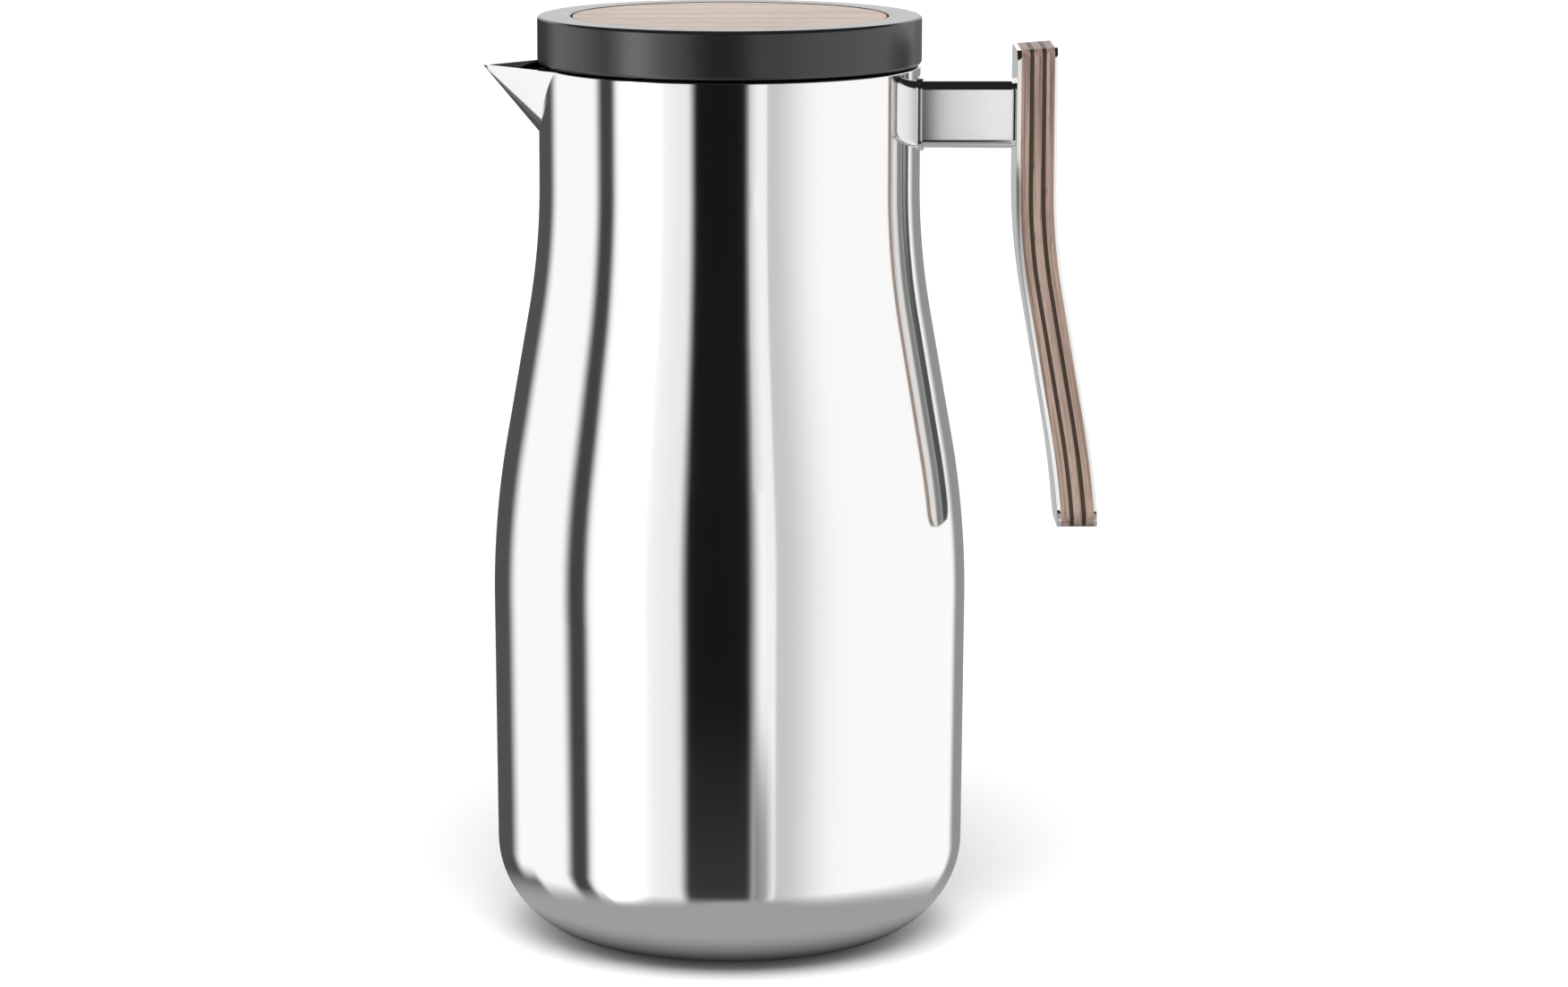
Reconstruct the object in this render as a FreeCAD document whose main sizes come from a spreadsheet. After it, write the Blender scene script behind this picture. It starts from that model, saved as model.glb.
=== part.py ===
import FreeCAD, Part
import math
import os
import re
import Sketcher

# Thermal carafe. Millimetres, Z up, rotation axis of the vessel on Z, spout towards -X, handle towards +X.
# The table is at z = 0.

# Driving dimensions
sizes = {
    # outer shell
    "wall": 0.8,
    "foot_gap": 0.5,
    "foot_curve": 25.7,
    "foot_rim": 3.3,
    "belly_taper": 0.5,
    "belly_radius": 63.5,
    "belly_height": 92.9,
    "belly_curve": 244,
    "lean": 10,
    "slope_rise": 34.6,
    "flare_curve": 200,
    "neck_rise": 30.8,
    # foot
    "pad_thick": 2,
    "pad_room": 0.3,
    "pad_bevel": 0.4,
    # spout
    "spout_length": 14.75,
    "spout_half_width": 22,
    "fold_drop": 28.3,
    "keel_curve": 20,
    "spout_root_depth": 12.65,
    # glass flask
    "glass": 1.6,
    "vacuum_gap": 4.4,
    "flask_room": 1.85,
    "flask_corner": 28,
    "flask_drop": 25.4,
    "flask_lip": 2,
    "cushion_thick": 11.6,
    "cushion_spread": 10,
    "cushion_width": 18,
    "cushion_edge": 5.2,
    "spacer_rise": 18,
    "spacer_size": 10,
    "spacer_sweep": 14,
    # neck
    "gasket_thick": 2,
    "ledge_thick": 2,
    "ledge_width": 3.1,
    "collar_wall": 8.35,
    "collar_drop": 0.4,
    "window_half": 12,
    "window_depth": 16.8,
    # handle
    "arm_size": 17.8,
    "arm_drop": 12.55,
    "arm_round": 2.4,
    "arm_step": 1,
    "arm_step_depth": 0.5,
    "root_thick": 1,
    "root_border": 0.7,
    "grip_reach": 25,
    "grip_width": 25,
    "grip_rise": 5.4,
    "grip_hang": 19.1,
    "grip_top_round": 2.5,
    "grip_bottom_round": 5.5,
    "inner_plate": 1.2,
    "light_ply": 2.16,
    "dark_ply": 1.1,
    "outer_plate": 0.8,
    # screws of the handle
    "screw_pitch": 6.4,
    "screw_radius": 1.75,
    "screw_head": 2.9,
    "screw_head_thick": 1.8,
    "screw_seat_depth": 3.65,
    "screw_head_room": 0.1,
    "arm_screw_bite": 9.35,
    "plate_screw_bite": 11.65,
    # stopper insert
    "insert_dip": 10,
    "insert_drop": 2,
    "insert_floor": 3,
    "insert_wall": 2.5,
    "insert_room": 0.3,
    "waist_room": 0.4,
    "seat_width": 8.5,
    "seal_thick": 1.5,
    "seal_inset": 0.2,
    "insert_window_half": 10,
    "insert_bridge": 2,
    "rib_half": 2,
    "rib_depth": 4.3,
    "rib_rise": 15,
    # valve
    "valve_room": 2.5,
    "valve_thick": 2,
    "valve_seal_inset": 1,
    "valve_seal_width": 2.6,
    "valve_seal_thick": 1.4,
    "valve_boss_drop": 0.8,
    "hub_wall": 2.7,
    "hub_room": 0.3,
    "hub_floor": 1,
    "hub_rise": 9.6,
    "notch_room": 0.3,
    "swivel_play": 0.2,
    "stem_room": 0.08,
    # lid
    "stem_radius": 6,
    "stem_flange_width": 1.5,
    "stem_flange_thick": 2.5,
    "thread_room": 0.3,
    "plug_wall": 3,
    "plug_dip": 9,
    "plug_plate": 2.9,
    "plug_room": 0.5,
    "plug_seal_thick": 1.4,
    "plug_seal_gap": 0.2,
    "plug_seal_inset": 0.5,
    "lid_overhang": 0.35,
    "lid_gap": 0.5,
    "lid_hollow": 4.5,
    "lid_wall": 2.5,
    "lid_border": 8.8,
    "lid_foot_round": 1.2,
    "lid_top_round": 1,
    "deck_thick": 3,
    "inlay_depth": 5.25,
    "inlay_groove": 0.5,
    "inlay_drop": 0.1,
    "inlay_round": 0.4,
    "stem_screw_radius": 2,
    "stem_screw_head": 4.5,
    "stem_screw_head_thick": 2,
    "stem_screw_bite": 11.5,
    "foam_room": 0.5,
    "foam_thick": 3.4,
}

# Places that follow from the driving dimensions, as formulas of their names
derived = {
    "heel_radius": "belly_radius - belly_taper",
    "heel_height": "foot_gap + foot_curve",
    "foot_radius": "heel_radius - foot_curve",
    "recess_radius": "foot_radius - foot_rim",
    "pad_radius": "recess_radius - pad_room",
    "floor_top": "pad_thick + wall",
    "swell_radius": "belly_radius - belly_curve*(1 - cos(lean))",
    "swell_height": "belly_height + belly_curve*sin(lean)",
    "flare_radius": "swell_radius - slope_rise*tan(lean)",
    "flare_height": "swell_height + slope_rise",
    "neck_radius": "flare_radius - flare_curve*(1 - cos(lean))",
    "neck_foot": "flare_height + flare_curve*sin(lean)",
    "neck_bore": "neck_radius - wall",
    "rim_height": "neck_foot + neck_rise",
    "spout_reach": "neck_radius + spout_length",
    "spout_root": "neck_radius - spout_root_depth",
    "flask_radius": "neck_bore - flask_room",
    "flask_flat": "flask_radius - flask_corner",
    "flask_bottom": "floor_top + cushion_thick",
    "flask_bend": "flask_bottom + flask_corner",
    "flask_shoulder": "rim_height - flask_drop",
    "outer_glass_bore": "flask_radius - glass",
    "inner_glass_radius": "outer_glass_bore - vacuum_gap",
    "inner_glass_bore": "inner_glass_radius - glass",
    "outer_glass_floor": "flask_bottom + glass",
    "inner_glass_bottom": "outer_glass_floor + vacuum_gap",
    "inner_glass_floor": "inner_glass_bottom + glass",
    "cushion_radius": "flask_flat + cushion_spread",
    "cushion_bore": "cushion_radius - cushion_width",
    "spacer_foot": "flask_bend + spacer_rise",
    "lip_top": "flask_shoulder + flask_lip",
    "ledge_foot": "lip_top + gasket_thick",
    "ledge_top": "ledge_foot + ledge_thick",
    "collar_bore": "neck_bore - collar_wall",
    "collar_top": "rim_height - collar_drop",
    "ledge_radius": "collar_bore - ledge_width",
    "window_sill": "rim_height - window_depth",
    "arm_height": "rim_height - arm_drop",
    "grip_face": "neck_radius + grip_reach",
    "grip_top": "rim_height + grip_rise",
    "grip_bottom": "belly_height + grip_hang",
    "low_screw": "arm_height - screw_pitch/2",
    "screw_seat": "neck_bore - screw_seat_depth",
    "screw_top": "screw_seat - screw_head_thick",
    "arm_screw_end": "neck_radius + arm_screw_bite",
    "plate_screw_end": "grip_face - plate_screw_bite",
    "shoulder": "ledge_top + seal_thick",
    "insert_bottom": "ledge_foot - insert_dip",
    "insert_top": "collar_top - insert_drop",
    "insert_waist": "ledge_radius - waist_room",
    "insert_radius": "collar_bore - insert_room",
    "insert_bore": "insert_waist - insert_wall",
    "insert_window_top": "insert_top - insert_bridge",
    "seal_radius": "insert_radius - seal_inset",
    "seat_top": "insert_bottom + insert_floor",
    "seat_bore": "insert_bore - seat_width",
    "rib_face": "insert_bore - rib_depth",
    "rib_back": "insert_bore + insert_wall/2",
    "valve_radius": "insert_bore - valve_room",
    "valve_seal_bore": "seat_bore + valve_seal_inset",
    "valve_seal_radius": "valve_seal_bore + valve_seal_width",
    "valve_foot": "seat_top + valve_seal_thick",
    "valve_top": "valve_foot + valve_thick",
    "boss_foot": "valve_foot - valve_boss_drop",
    "hub_base": "valve_top + hub_floor",
    "hub_top": "hub_base + hub_rise",
    "hub_bore": "stem_flange + hub_room",
    "hub_radius": "hub_bore + hub_wall",
    "stem_flange": "stem_radius + stem_flange_width",
    "stem_foot": "hub_base + swivel_play",
    "stem_flange_top": "stem_foot + stem_flange_thick",
    "retainer_foot": "stem_flange_top + swivel_play",
    "plug_radius": "insert_bore - thread_room",
    "plug_bore": "plug_radius - plug_wall",
    "plug_foot": "insert_top - plug_dip",
    "plug_flange": "collar_bore - plug_room",
    "plug_seal_foot": "insert_top + plug_seal_gap",
    "plug_flange_foot": "plug_seal_foot + plug_seal_thick",
    "plug_seal_bore": "insert_bore + plug_seal_inset",
    "plug_seal_radius": "plug_flange - plug_seal_inset",
    "lid_radius": "neck_radius + lid_overhang",
    "lid_bore": "lid_radius - lid_wall",
    "lid_foot": "rim_height + lid_gap",
    "deck_foot": "lid_foot + lid_hollow",
    "deck_top": "deck_foot + deck_thick",
    "plate_foot": "deck_foot - plug_plate",
    "lid_top": "deck_top + inlay_depth",
    "inlay_recess": "lid_radius - lid_border",
    "inlay_radius": "inlay_recess - inlay_groove",
    "inlay_top": "lid_top - inlay_drop",
    "stem_screw_seat": "deck_top - stem_screw_head_thick",
    "stem_screw_end": "plate_foot - stem_screw_bite",
    "foam_bore": "plug_flange + foam_room",
    "foam_radius": "lid_bore - foam_room",
}

os.makedirs("parts", exist_ok=True)
doc = FreeCAD.newDocument("thermal_carafe")
sheet = doc.addObject("Spreadsheet::Sheet", "Sizes")
for row, (name, size) in enumerate(sizes.items(), 1):
    sheet.set(f"A{row}", name)
    sheet.set(f"B{row}", str(size))
    sheet.setAlias(f"B{row}", name)
doc.recompute()


# A formula of bare names, with each one turned into a reference to its cell or into its own formula
def formula(text):
    def spell_out(word):
        name = word[0]
        if name in derived:
            return "(" + formula(derived[name]) + ")"
        return "Sizes." + name if name in sizes else name

    return re.sub("[a-z_]+", spell_out, text)


def number(text):
    return float(sheet.evalExpression(formula(text)))


def bind(thing, **formulas):
    for name, text in formulas.items():
        thing.setExpression(name.replace("__", "."), formula(text))


def make_body(label):
    body = doc.addObject("PartDesign::Body", label)
    body.Label = label
    body.AllowCompound = True
    return body


def attach_sketch(body, role):
    sketch = body.newObject("Sketcher::SketchObject", body.Name + "_outline")
    plane = next(item for item in body.Origin.OriginFeatures if item.Role == role)
    sketch.AttachmentSupport = (plane, [""])
    sketch.MapMode = "FlatFace"
    return sketch


# Arc from start to end. A positive radius turns to the left on the way, a negative one to the right.
def arc_between(start, end, radius):
    chord = end - start
    across = FreeCAD.Vector(-chord.y, chord.x, 0).normalize()
    middle = (start + end) * 0.5
    depth = math.sqrt(radius * radius - chord.Length * chord.Length / 4)
    centre = middle + across * math.copysign(depth, radius)
    first, last = (start, end) if radius > 0 else (end, start)
    angles = [math.atan2(spot.y - centre.y, spot.x - centre.x) for spot in (first, last)]
    circle = Part.Circle(centre, FreeCAD.Vector(0, 0, 1), abs(radius))
    return Part.ArcOfCircle(circle, *angles)


# Closed outline through corners (x, y), or (x, y, radius) where an arc of that radius leads on.
# A minus sign before the radius turns the arc to the right. Every corner is dimensioned from the origin.
def draw_outline(sketch, corners):
    spots = [FreeCAD.Vector(number(corner[0]), number(corner[1]), 0) for corner in corners]
    ends = []
    for index, corner in enumerate(corners):
        start = spots[index]
        end = spots[(index + 1) % len(spots)]
        if len(corner) == 3:
            radius = number(corner[2])
            sketch.addGeometry(arc_between(start, end, radius))
            ends.append((1, 2) if radius > 0 else (2, 1))
            size = sketch.addConstraint(Sketcher.Constraint("Radius", index, abs(radius)))
            sketch.setExpression(f"Constraints[{size}]", formula(corner[2].lstrip("-")))
        else:
            sketch.addGeometry(Part.LineSegment(start, end))
            ends.append((1, 2))
    for index, corner in enumerate(corners):
        first, last = ends[index]
        after = (index + 1) % len(corners)
        sketch.addConstraint(Sketcher.Constraint("Coincident", index, last, after, ends[after][0]))
        for kind, axis, text, place in zip(("DistanceX", "DistanceY"), (-2, -1), corner, spots[index]):
            if text == "0":
                sketch.addConstraint(Sketcher.Constraint("PointOnObject", index, first, axis))
            else:
                size = sketch.addConstraint(Sketcher.Constraint(kind, -1, 1, index, first, place))
                sketch.setExpression(f"Constraints[{size}]", formula(text))


# Round piece from an outline of (radius, height) corners, turned about Z
def turned(label, corners):
    body = make_body(label)
    sketch = attach_sketch(body, "XZ_Plane")
    draw_outline(sketch, corners)
    turn = body.newObject("PartDesign::Revolution", label + "_turn")
    turn.Profile = sketch
    turn.ReferenceAxis = (sketch, ["V_Axis"])
    return body


# Plain ring between two radii and two heights
def ring(label, bore, radius, foot, top):
    return turned(label, [(bore, foot), (radius, foot), (radius, top), (bore, top)])


def box(label, x, y, z, length, width, height):
    block = doc.addObject("Part::Box", label)
    bind(block, Length=length, Width=width, Height=height)
    bind(block, Placement__Base__x=x, Placement__Base__y=y, Placement__Base__z=z)
    return block


def cylinder(label, radius, foot, height):
    rod = doc.addObject("Part::Cylinder", label)
    bind(rod, Radius=radius, Height=height, Placement__Base__z=foot)
    return rod


def combine(kind, label, base, tool):
    result = doc.addObject("Part::" + kind, label)
    result.Base = base
    result.Tool = tool
    result.Label = label
    return result


def group(label, members):
    bundle = doc.addObject("Part::Compound", label)
    bundle.Links = members
    return bundle


# Two screws along X, one above the other, from an outline of (x, radius) corners
def screw_pair(label, corners):
    body = make_body(label)
    sketch = attach_sketch(body, "XZ_Plane")
    bind(sketch, AttachmentOffset__Base__y="low_screw")
    draw_outline(sketch, corners)
    turn = body.newObject("PartDesign::Revolution", label + "_turn")
    turn.Profile = sketch
    turn.ReferenceAxis = (sketch, ["H_Axis"])
    doc.recompute()
    pair = body.newObject("PartDesign::LinearPattern", label + "_pair")
    pair.Originals = [turn]
    pair.Direction = (sketch, ["V_Axis"])
    pair.Occurrences = 2
    bind(pair, Length="screw_pitch")
    body.Tip = pair
    return body


# Shell, spout and foot

# The beak is a hollow wedge that narrows to one point. Its root section is a V with a rounded fold.
def spout_wedge():
    reach = number("spout_reach")
    rim = number("rim_height")
    root = number("spout_root")
    tip = FreeCAD.Vector(-reach, 0, rim)
    rim_x = math.sqrt(number("neck_radius") ** 2 - number("spout_half_width") ** 2)
    half = number("spout_half_width") * (reach - root) / (reach - rim_x)
    drop = number("fold_drop") * (reach - root) / (reach - number("neck_radius"))
    slope = math.atan2(drop, half)
    curve = number("keel_curve")
    centre = rim - drop + curve / math.cos(slope)
    side = curve * math.sin(slope)
    low = centre - curve * math.cos(slope)
    right = FreeCAD.Vector(-root, half, rim)
    left = FreeCAD.Vector(-root, -half, rim)
    right_bend = FreeCAD.Vector(-root, side, low)
    left_bend = FreeCAD.Vector(-root, -side, low)
    keel = FreeCAD.Vector(-root, 0, centre - curve)
    edges = [
        Part.LineSegment(left, right).toShape(),
        Part.LineSegment(right, right_bend).toShape(),
        Part.Arc(right_bend, keel, left_bend).toShape(),
        Part.LineSegment(left_bend, left).toShape(),
    ]
    facet = (right - tip).cross(right_bend - tip).normalize()
    inset = number("wall") / abs(facet.x)
    return Part.makeLoft([Part.Vertex(tip), Part.Wire(edges)], True, True), inset


def make_shell_and_spout(arm_screws):
    blank = turned("shell_blank", [
        ("0", "pad_thick"),
        ("recess_radius", "pad_thick"),
        ("recess_radius", "foot_gap"),
        ("foot_radius", "foot_gap", "foot_curve"),
        ("heel_radius", "heel_height"),
        ("belly_radius", "belly_height", "belly_curve"),
        ("swell_radius", "swell_height"),
        ("flare_radius", "flare_height", "-flare_curve"),
        ("neck_radius", "neck_foot"),
        ("neck_radius", "rim_height"),
        ("neck_bore", "rim_height"),
        ("neck_bore", "neck_foot", "flare_curve + wall"),
        ("flare_radius - wall*cos(lean)", "flare_height - wall*sin(lean)"),
        ("swell_radius - wall*cos(lean)", "swell_height - wall*sin(lean)", "-(belly_curve - wall)"),
        ("belly_radius - wall", "belly_height"),
        ("heel_radius - wall", "heel_height", "-(foot_curve - wall)"),
        ("foot_radius", "foot_gap + wall"),
        ("recess_radius + wall", "foot_gap + wall"),
        ("recess_radius + wall", "floor_top"),
        ("0", "floor_top"),
    ])
    wedge, inset = spout_wedge()
    outside = doc.addObject("Part::Feature", "beak_outside")
    outside.Shape = wedge
    inside = doc.addObject("Part::Feature", "beak_inside")
    inside.Shape = wedge
    inside.Placement = FreeCAD.Placement(FreeCAD.Vector(inset, 0, 0), FreeCAD.Rotation())
    bore = cylinder("spout_bore", "neck_bore", "belly_height", "rim_height - belly_height")
    beak = combine("Cut", "beak_sheet", outside, inside)
    spout = combine("Cut", "pouring_spout", beak, bore)
    notched = combine("Cut", "notched_shell", blank, outside)
    shell = combine("Cut", "outer_shell", notched, arm_screws)
    return [shell, spout]


def make_base_pad():
    return [turned("base_pad", [
        ("0", "0"),
        ("pad_radius - pad_bevel", "0"),
        ("pad_radius", "pad_bevel"),
        ("pad_radius", "pad_thick"),
        ("0", "pad_thick"),
    ])]


# Glass flask and what holds it

def make_flask():
    cushion = turned("flask_cushion", [
        ("cushion_bore", "floor_top"),
        ("cushion_radius", "floor_top"),
        ("cushion_radius", "floor_top + cushion_edge"),
        ("flask_flat", "flask_bottom"),
        ("cushion_bore", "flask_bottom"),
    ])
    outer = turned("flask_outer_wall", [
        ("0", "flask_bottom"),
        ("flask_flat", "flask_bottom", "flask_corner"),
        ("flask_radius", "flask_bend"),
        ("flask_radius", "flask_shoulder"),
        ("outer_glass_bore", "flask_shoulder"),
        ("outer_glass_bore", "flask_bend", "-(flask_corner - glass)"),
        ("flask_flat", "outer_glass_floor"),
        ("0", "outer_glass_floor"),
    ])
    inner = turned("flask_inner_wall", [
        ("0", "inner_glass_bottom"),
        ("flask_flat", "inner_glass_bottom", "inner_glass_radius - flask_flat"),
        ("inner_glass_radius", "flask_bend"),
        ("inner_glass_radius", "flask_shoulder"),
        ("flask_radius", "flask_shoulder"),
        ("flask_radius", "lip_top"),
        ("inner_glass_bore", "lip_top"),
        ("inner_glass_bore", "flask_bend", "-(inner_glass_bore - flask_flat)"),
        ("flask_flat", "inner_glass_floor"),
        ("0", "inner_glass_floor"),
    ])
    spacers = turned("flask_spacers", [
        ("inner_glass_radius", "spacer_foot"),
        ("outer_glass_bore", "spacer_foot"),
        ("outer_glass_bore", "spacer_foot + spacer_size"),
        ("inner_glass_radius", "spacer_foot + spacer_size"),
    ])
    sector = spacers.Tip
    bind(sector, Angle="spacer_sweep")
    doc.recompute()
    pattern = spacers.newObject("PartDesign::PolarPattern", "flask_spacers_pattern")
    pattern.Originals = [sector]
    pattern.Axis = (sector.Profile[0], ["V_Axis"])
    pattern.Occurrences = 3
    spacers.Tip = pattern
    return [cushion, outer, inner, spacers]


def make_neck(arm_screws):
    gasket = ring("neck_gasket", "inner_glass_bore", "flask_radius", "lip_top", "ledge_foot")
    blank = turned("collar_blank", [
        ("ledge_radius", "ledge_foot"),
        ("neck_bore", "ledge_foot"),
        ("neck_bore", "collar_top"),
        ("collar_bore", "collar_top"),
        ("collar_bore", "ledge_top"),
        ("ledge_radius", "ledge_top"),
    ])
    window = box(
        "collar_window", "-neck_radius", "-window_half", "window_sill",
        "neck_radius - ledge_radius", "2*window_half", "window_depth",
    )
    head_room = screw_pair("screw_head_room", [
        ("ledge_radius", "0"),
        ("screw_seat", "0"),
        ("screw_seat", "screw_head + screw_head_room"),
        ("ledge_radius", "screw_head + screw_head_room"),
    ])
    windowed = combine("Cut", "windowed_collar", blank, window)
    bored = combine("Cut", "bored_collar", windowed, head_room)
    collar = combine("Cut", "neck_collar", bored, arm_screws)
    return [gasket, collar]


# Handle

def make_arm_screws():
    return screw_pair("arm_screws", [
        ("screw_top", "0"),
        ("arm_screw_end", "0"),
        ("arm_screw_end", "screw_radius"),
        ("screw_seat", "screw_radius"),
        ("screw_seat", "screw_head"),
        ("screw_top", "screw_head"),
    ])


# Countersunk, with the head as thick as the plate that it holds
def make_plate_screws():
    return screw_pair("handle_plate_screws", [
        ("plate_screw_end", "0"),
        ("grip_face + inner_plate", "0"),
        ("grip_face + inner_plate", "screw_head"),
        ("grip_face", "screw_radius"),
        ("plate_screw_end", "screw_radius"),
    ])


# Square block round the arm's axis, from inside the neck out to the given x
def arm_block(label, size, reach):
    return box(
        label, "ledge_radius", f"-({size})/2", f"arm_height - ({size})/2",
        f"{reach} - ledge_radius", size, size,
    )


def make_arm(arm_screws, plate_screws):
    neck_rod = cylinder("neck_outside", "neck_radius", "neck_foot", "neck_rise")
    root_rod = cylinder("root_outside", "neck_radius + root_thick", "neck_foot", "neck_rise")
    root_block = arm_block("root_block", "arm_size + 2*root_border", "grip_face")
    root_saddle = combine("Common", "root_saddle", root_block, root_rod)
    root_hollow = combine("Cut", "root_hollow", root_saddle, neck_rod)
    root = combine("Cut", "arm_root_plate", root_hollow, arm_screws)

    bar = arm_block("arm_bar", "arm_size", "grip_face - arm_step")
    doc.recompute()
    rounded = doc.addObject("Part::Fillet", "arm_rounded")
    rounded.Base = bar
    along = [
        index for index, edge in enumerate(bar.Shape.Edges, 1)
        if abs(edge.tangentAt(edge.FirstParameter).x) > 0.9
    ]
    rounded.Edges = [(index, number("arm_round"), number("arm_round")) for index in along]
    step = arm_block("arm_end_step", "arm_size - 2*arm_step_depth", "grip_face")
    stepped = combine("Fuse", "arm_stepped", rounded, step)
    saddled = combine("Cut", "arm_saddled", stepped, root_rod)
    bored = combine("Cut", "arm_bored", saddled, arm_screws)
    arm = combine("Cut", "handle_arm", bored, plate_screws)
    return [root, arm]


# One layer of the grip between two distances from the grip's inner face, which follows the shell's profile
def grip_layer(label, near, far):
    def face(offset):
        bottom = f"sqrt(pow(belly_curve + {offset}; 2) - pow(grip_bottom - belly_height; 2))"
        return [
            (f"grip_face + {offset}", "grip_top"),
            (f"grip_face + {offset}", "neck_foot"),
            (
                f"flare_radius + grip_reach + ({offset})*cos(lean)",
                f"flare_height + ({offset})*sin(lean)",
            ),
            (
                f"swell_radius + grip_reach + ({offset})*cos(lean)",
                f"swell_height + ({offset})*sin(lean)",
            ),
            (f"belly_radius - belly_curve + grip_reach + {bottom}", "grip_bottom"),
        ]

    top, neck, flare, swell, end = face(near)
    far_top, far_neck, far_flare, far_swell, far_end = face(far)
    body = make_body(label)
    sketch = attach_sketch(body, "XZ_Plane")
    draw_outline(sketch, [
        top,
        neck + (f"flare_curve - ({near})",),
        flare,
        swell + (f"-(belly_curve + {near})",),
        end,
        far_end + (f"belly_curve + {far}",),
        far_swell,
        far_flare + (f"-(flare_curve - ({far}))",),
        far_neck,
        far_top,
    ])
    pad = body.newObject("PartDesign::Pad", label + "_pad")
    pad.Profile = sketch
    pad.SideType = "Symmetric"
    bind(pad, Length="grip_width")
    doc.recompute()
    for height, curve in (("grip_top", "grip_top_round"), ("grip_bottom", "grip_bottom_round")):
        base = body.Tip
        corners = [
            f"Edge{index}" for index, edge in enumerate(base.Shape.Edges, 1)
            if abs(edge.CenterOfMass.z - number(height)) < 0.01
            and abs(abs(edge.CenterOfMass.y) - number("grip_width") / 2) < 0.01
        ]
        rounding = body.newObject("PartDesign::Fillet", f"{label}_{height}")
        rounding.Base = (base, corners)
        bind(rounding, Radius=curve)
        body.Tip = rounding
        doc.recompute()
    return body


def make_grip(plate_screws):
    plate = grip_layer("inner_plate_blank", "0", "inner_plate")
    pieces = [combine("Cut", "handle_inner_plate", plate, plate_screws)]
    near = "inner_plate"
    for count, ply in enumerate(("light_ply", "dark_ply", "light_ply", "dark_ply", "light_ply"), 1):
        far = f"{near} + {ply}"
        pieces.append(grip_layer(f"grip_ply_{count}", near, far))
        near = far
    pieces.append(grip_layer("handle_outer_plate", near, f"{near} + outer_plate"))
    return pieces


# Stopper and valve

def make_stopper():
    blank = turned("insert_blank", [
        ("seat_bore", "insert_bottom"),
        ("insert_waist", "insert_bottom"),
        ("insert_waist", "shoulder"),
        ("insert_radius", "shoulder"),
        ("insert_radius", "insert_top"),
        ("insert_bore", "insert_top"),
        ("insert_bore", "seat_top"),
        ("seat_bore", "seat_top"),
    ])
    window = box(
        "insert_window", "-neck_radius", "-insert_window_half", "window_sill",
        "neck_radius - rib_face", "2*insert_window_half", "insert_window_top - window_sill",
    )
    windowed = combine("Cut", "windowed_insert", blank, window)
    bar = box(
        "rib_bar", "-rib_half", "-rib_back", "seat_top",
        "2*rib_half", "2*rib_back", "rib_rise",
    )
    gap = box(
        "rib_gap", "-neck_radius", "-rib_face", "seat_top",
        "2*neck_radius", "2*rib_face", "rib_rise",
    )
    ribs = combine("Cut", "insert_ribs", bar, gap)
    insert = combine("Fuse", "stopper_insert", windowed, ribs)
    seal = ring("insert_seal", "insert_waist", "seal_radius", "ledge_top", "shoulder")
    return [insert, seal]


def make_valve():
    blank = turned("valve_blank", [
        ("0", "boss_foot"),
        ("valve_seal_bore", "boss_foot"),
        ("valve_seal_bore", "valve_foot"),
        ("valve_radius", "valve_foot"),
        ("valve_radius", "valve_top"),
        ("hub_radius", "valve_top"),
        ("hub_radius", "hub_top"),
        ("hub_bore", "hub_top"),
        ("hub_bore", "hub_base"),
        ("0", "hub_base"),
    ])
    notches = group("rib_notches", [
        box(
            f"rib_notch_{count}", "-(rib_half + notch_room)", start, "valve_foot",
            "2*(rib_half + notch_room)", "valve_radius - rib_face + notch_room", "valve_thick",
        )
        for count, start in enumerate(("-valve_radius", "rib_face - notch_room"), 1)
    ])
    disc = combine("Cut", "valve_disc", blank, notches)
    seal = ring("valve_seal", "valve_seal_bore", "valve_seal_radius", "seat_top", "valve_foot")
    retainer = ring("stem_retainer", "stem_radius + stem_room", "hub_bore", "retainer_foot", "hub_top")
    return [disc, seal, retainer]


# Lid

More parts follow.
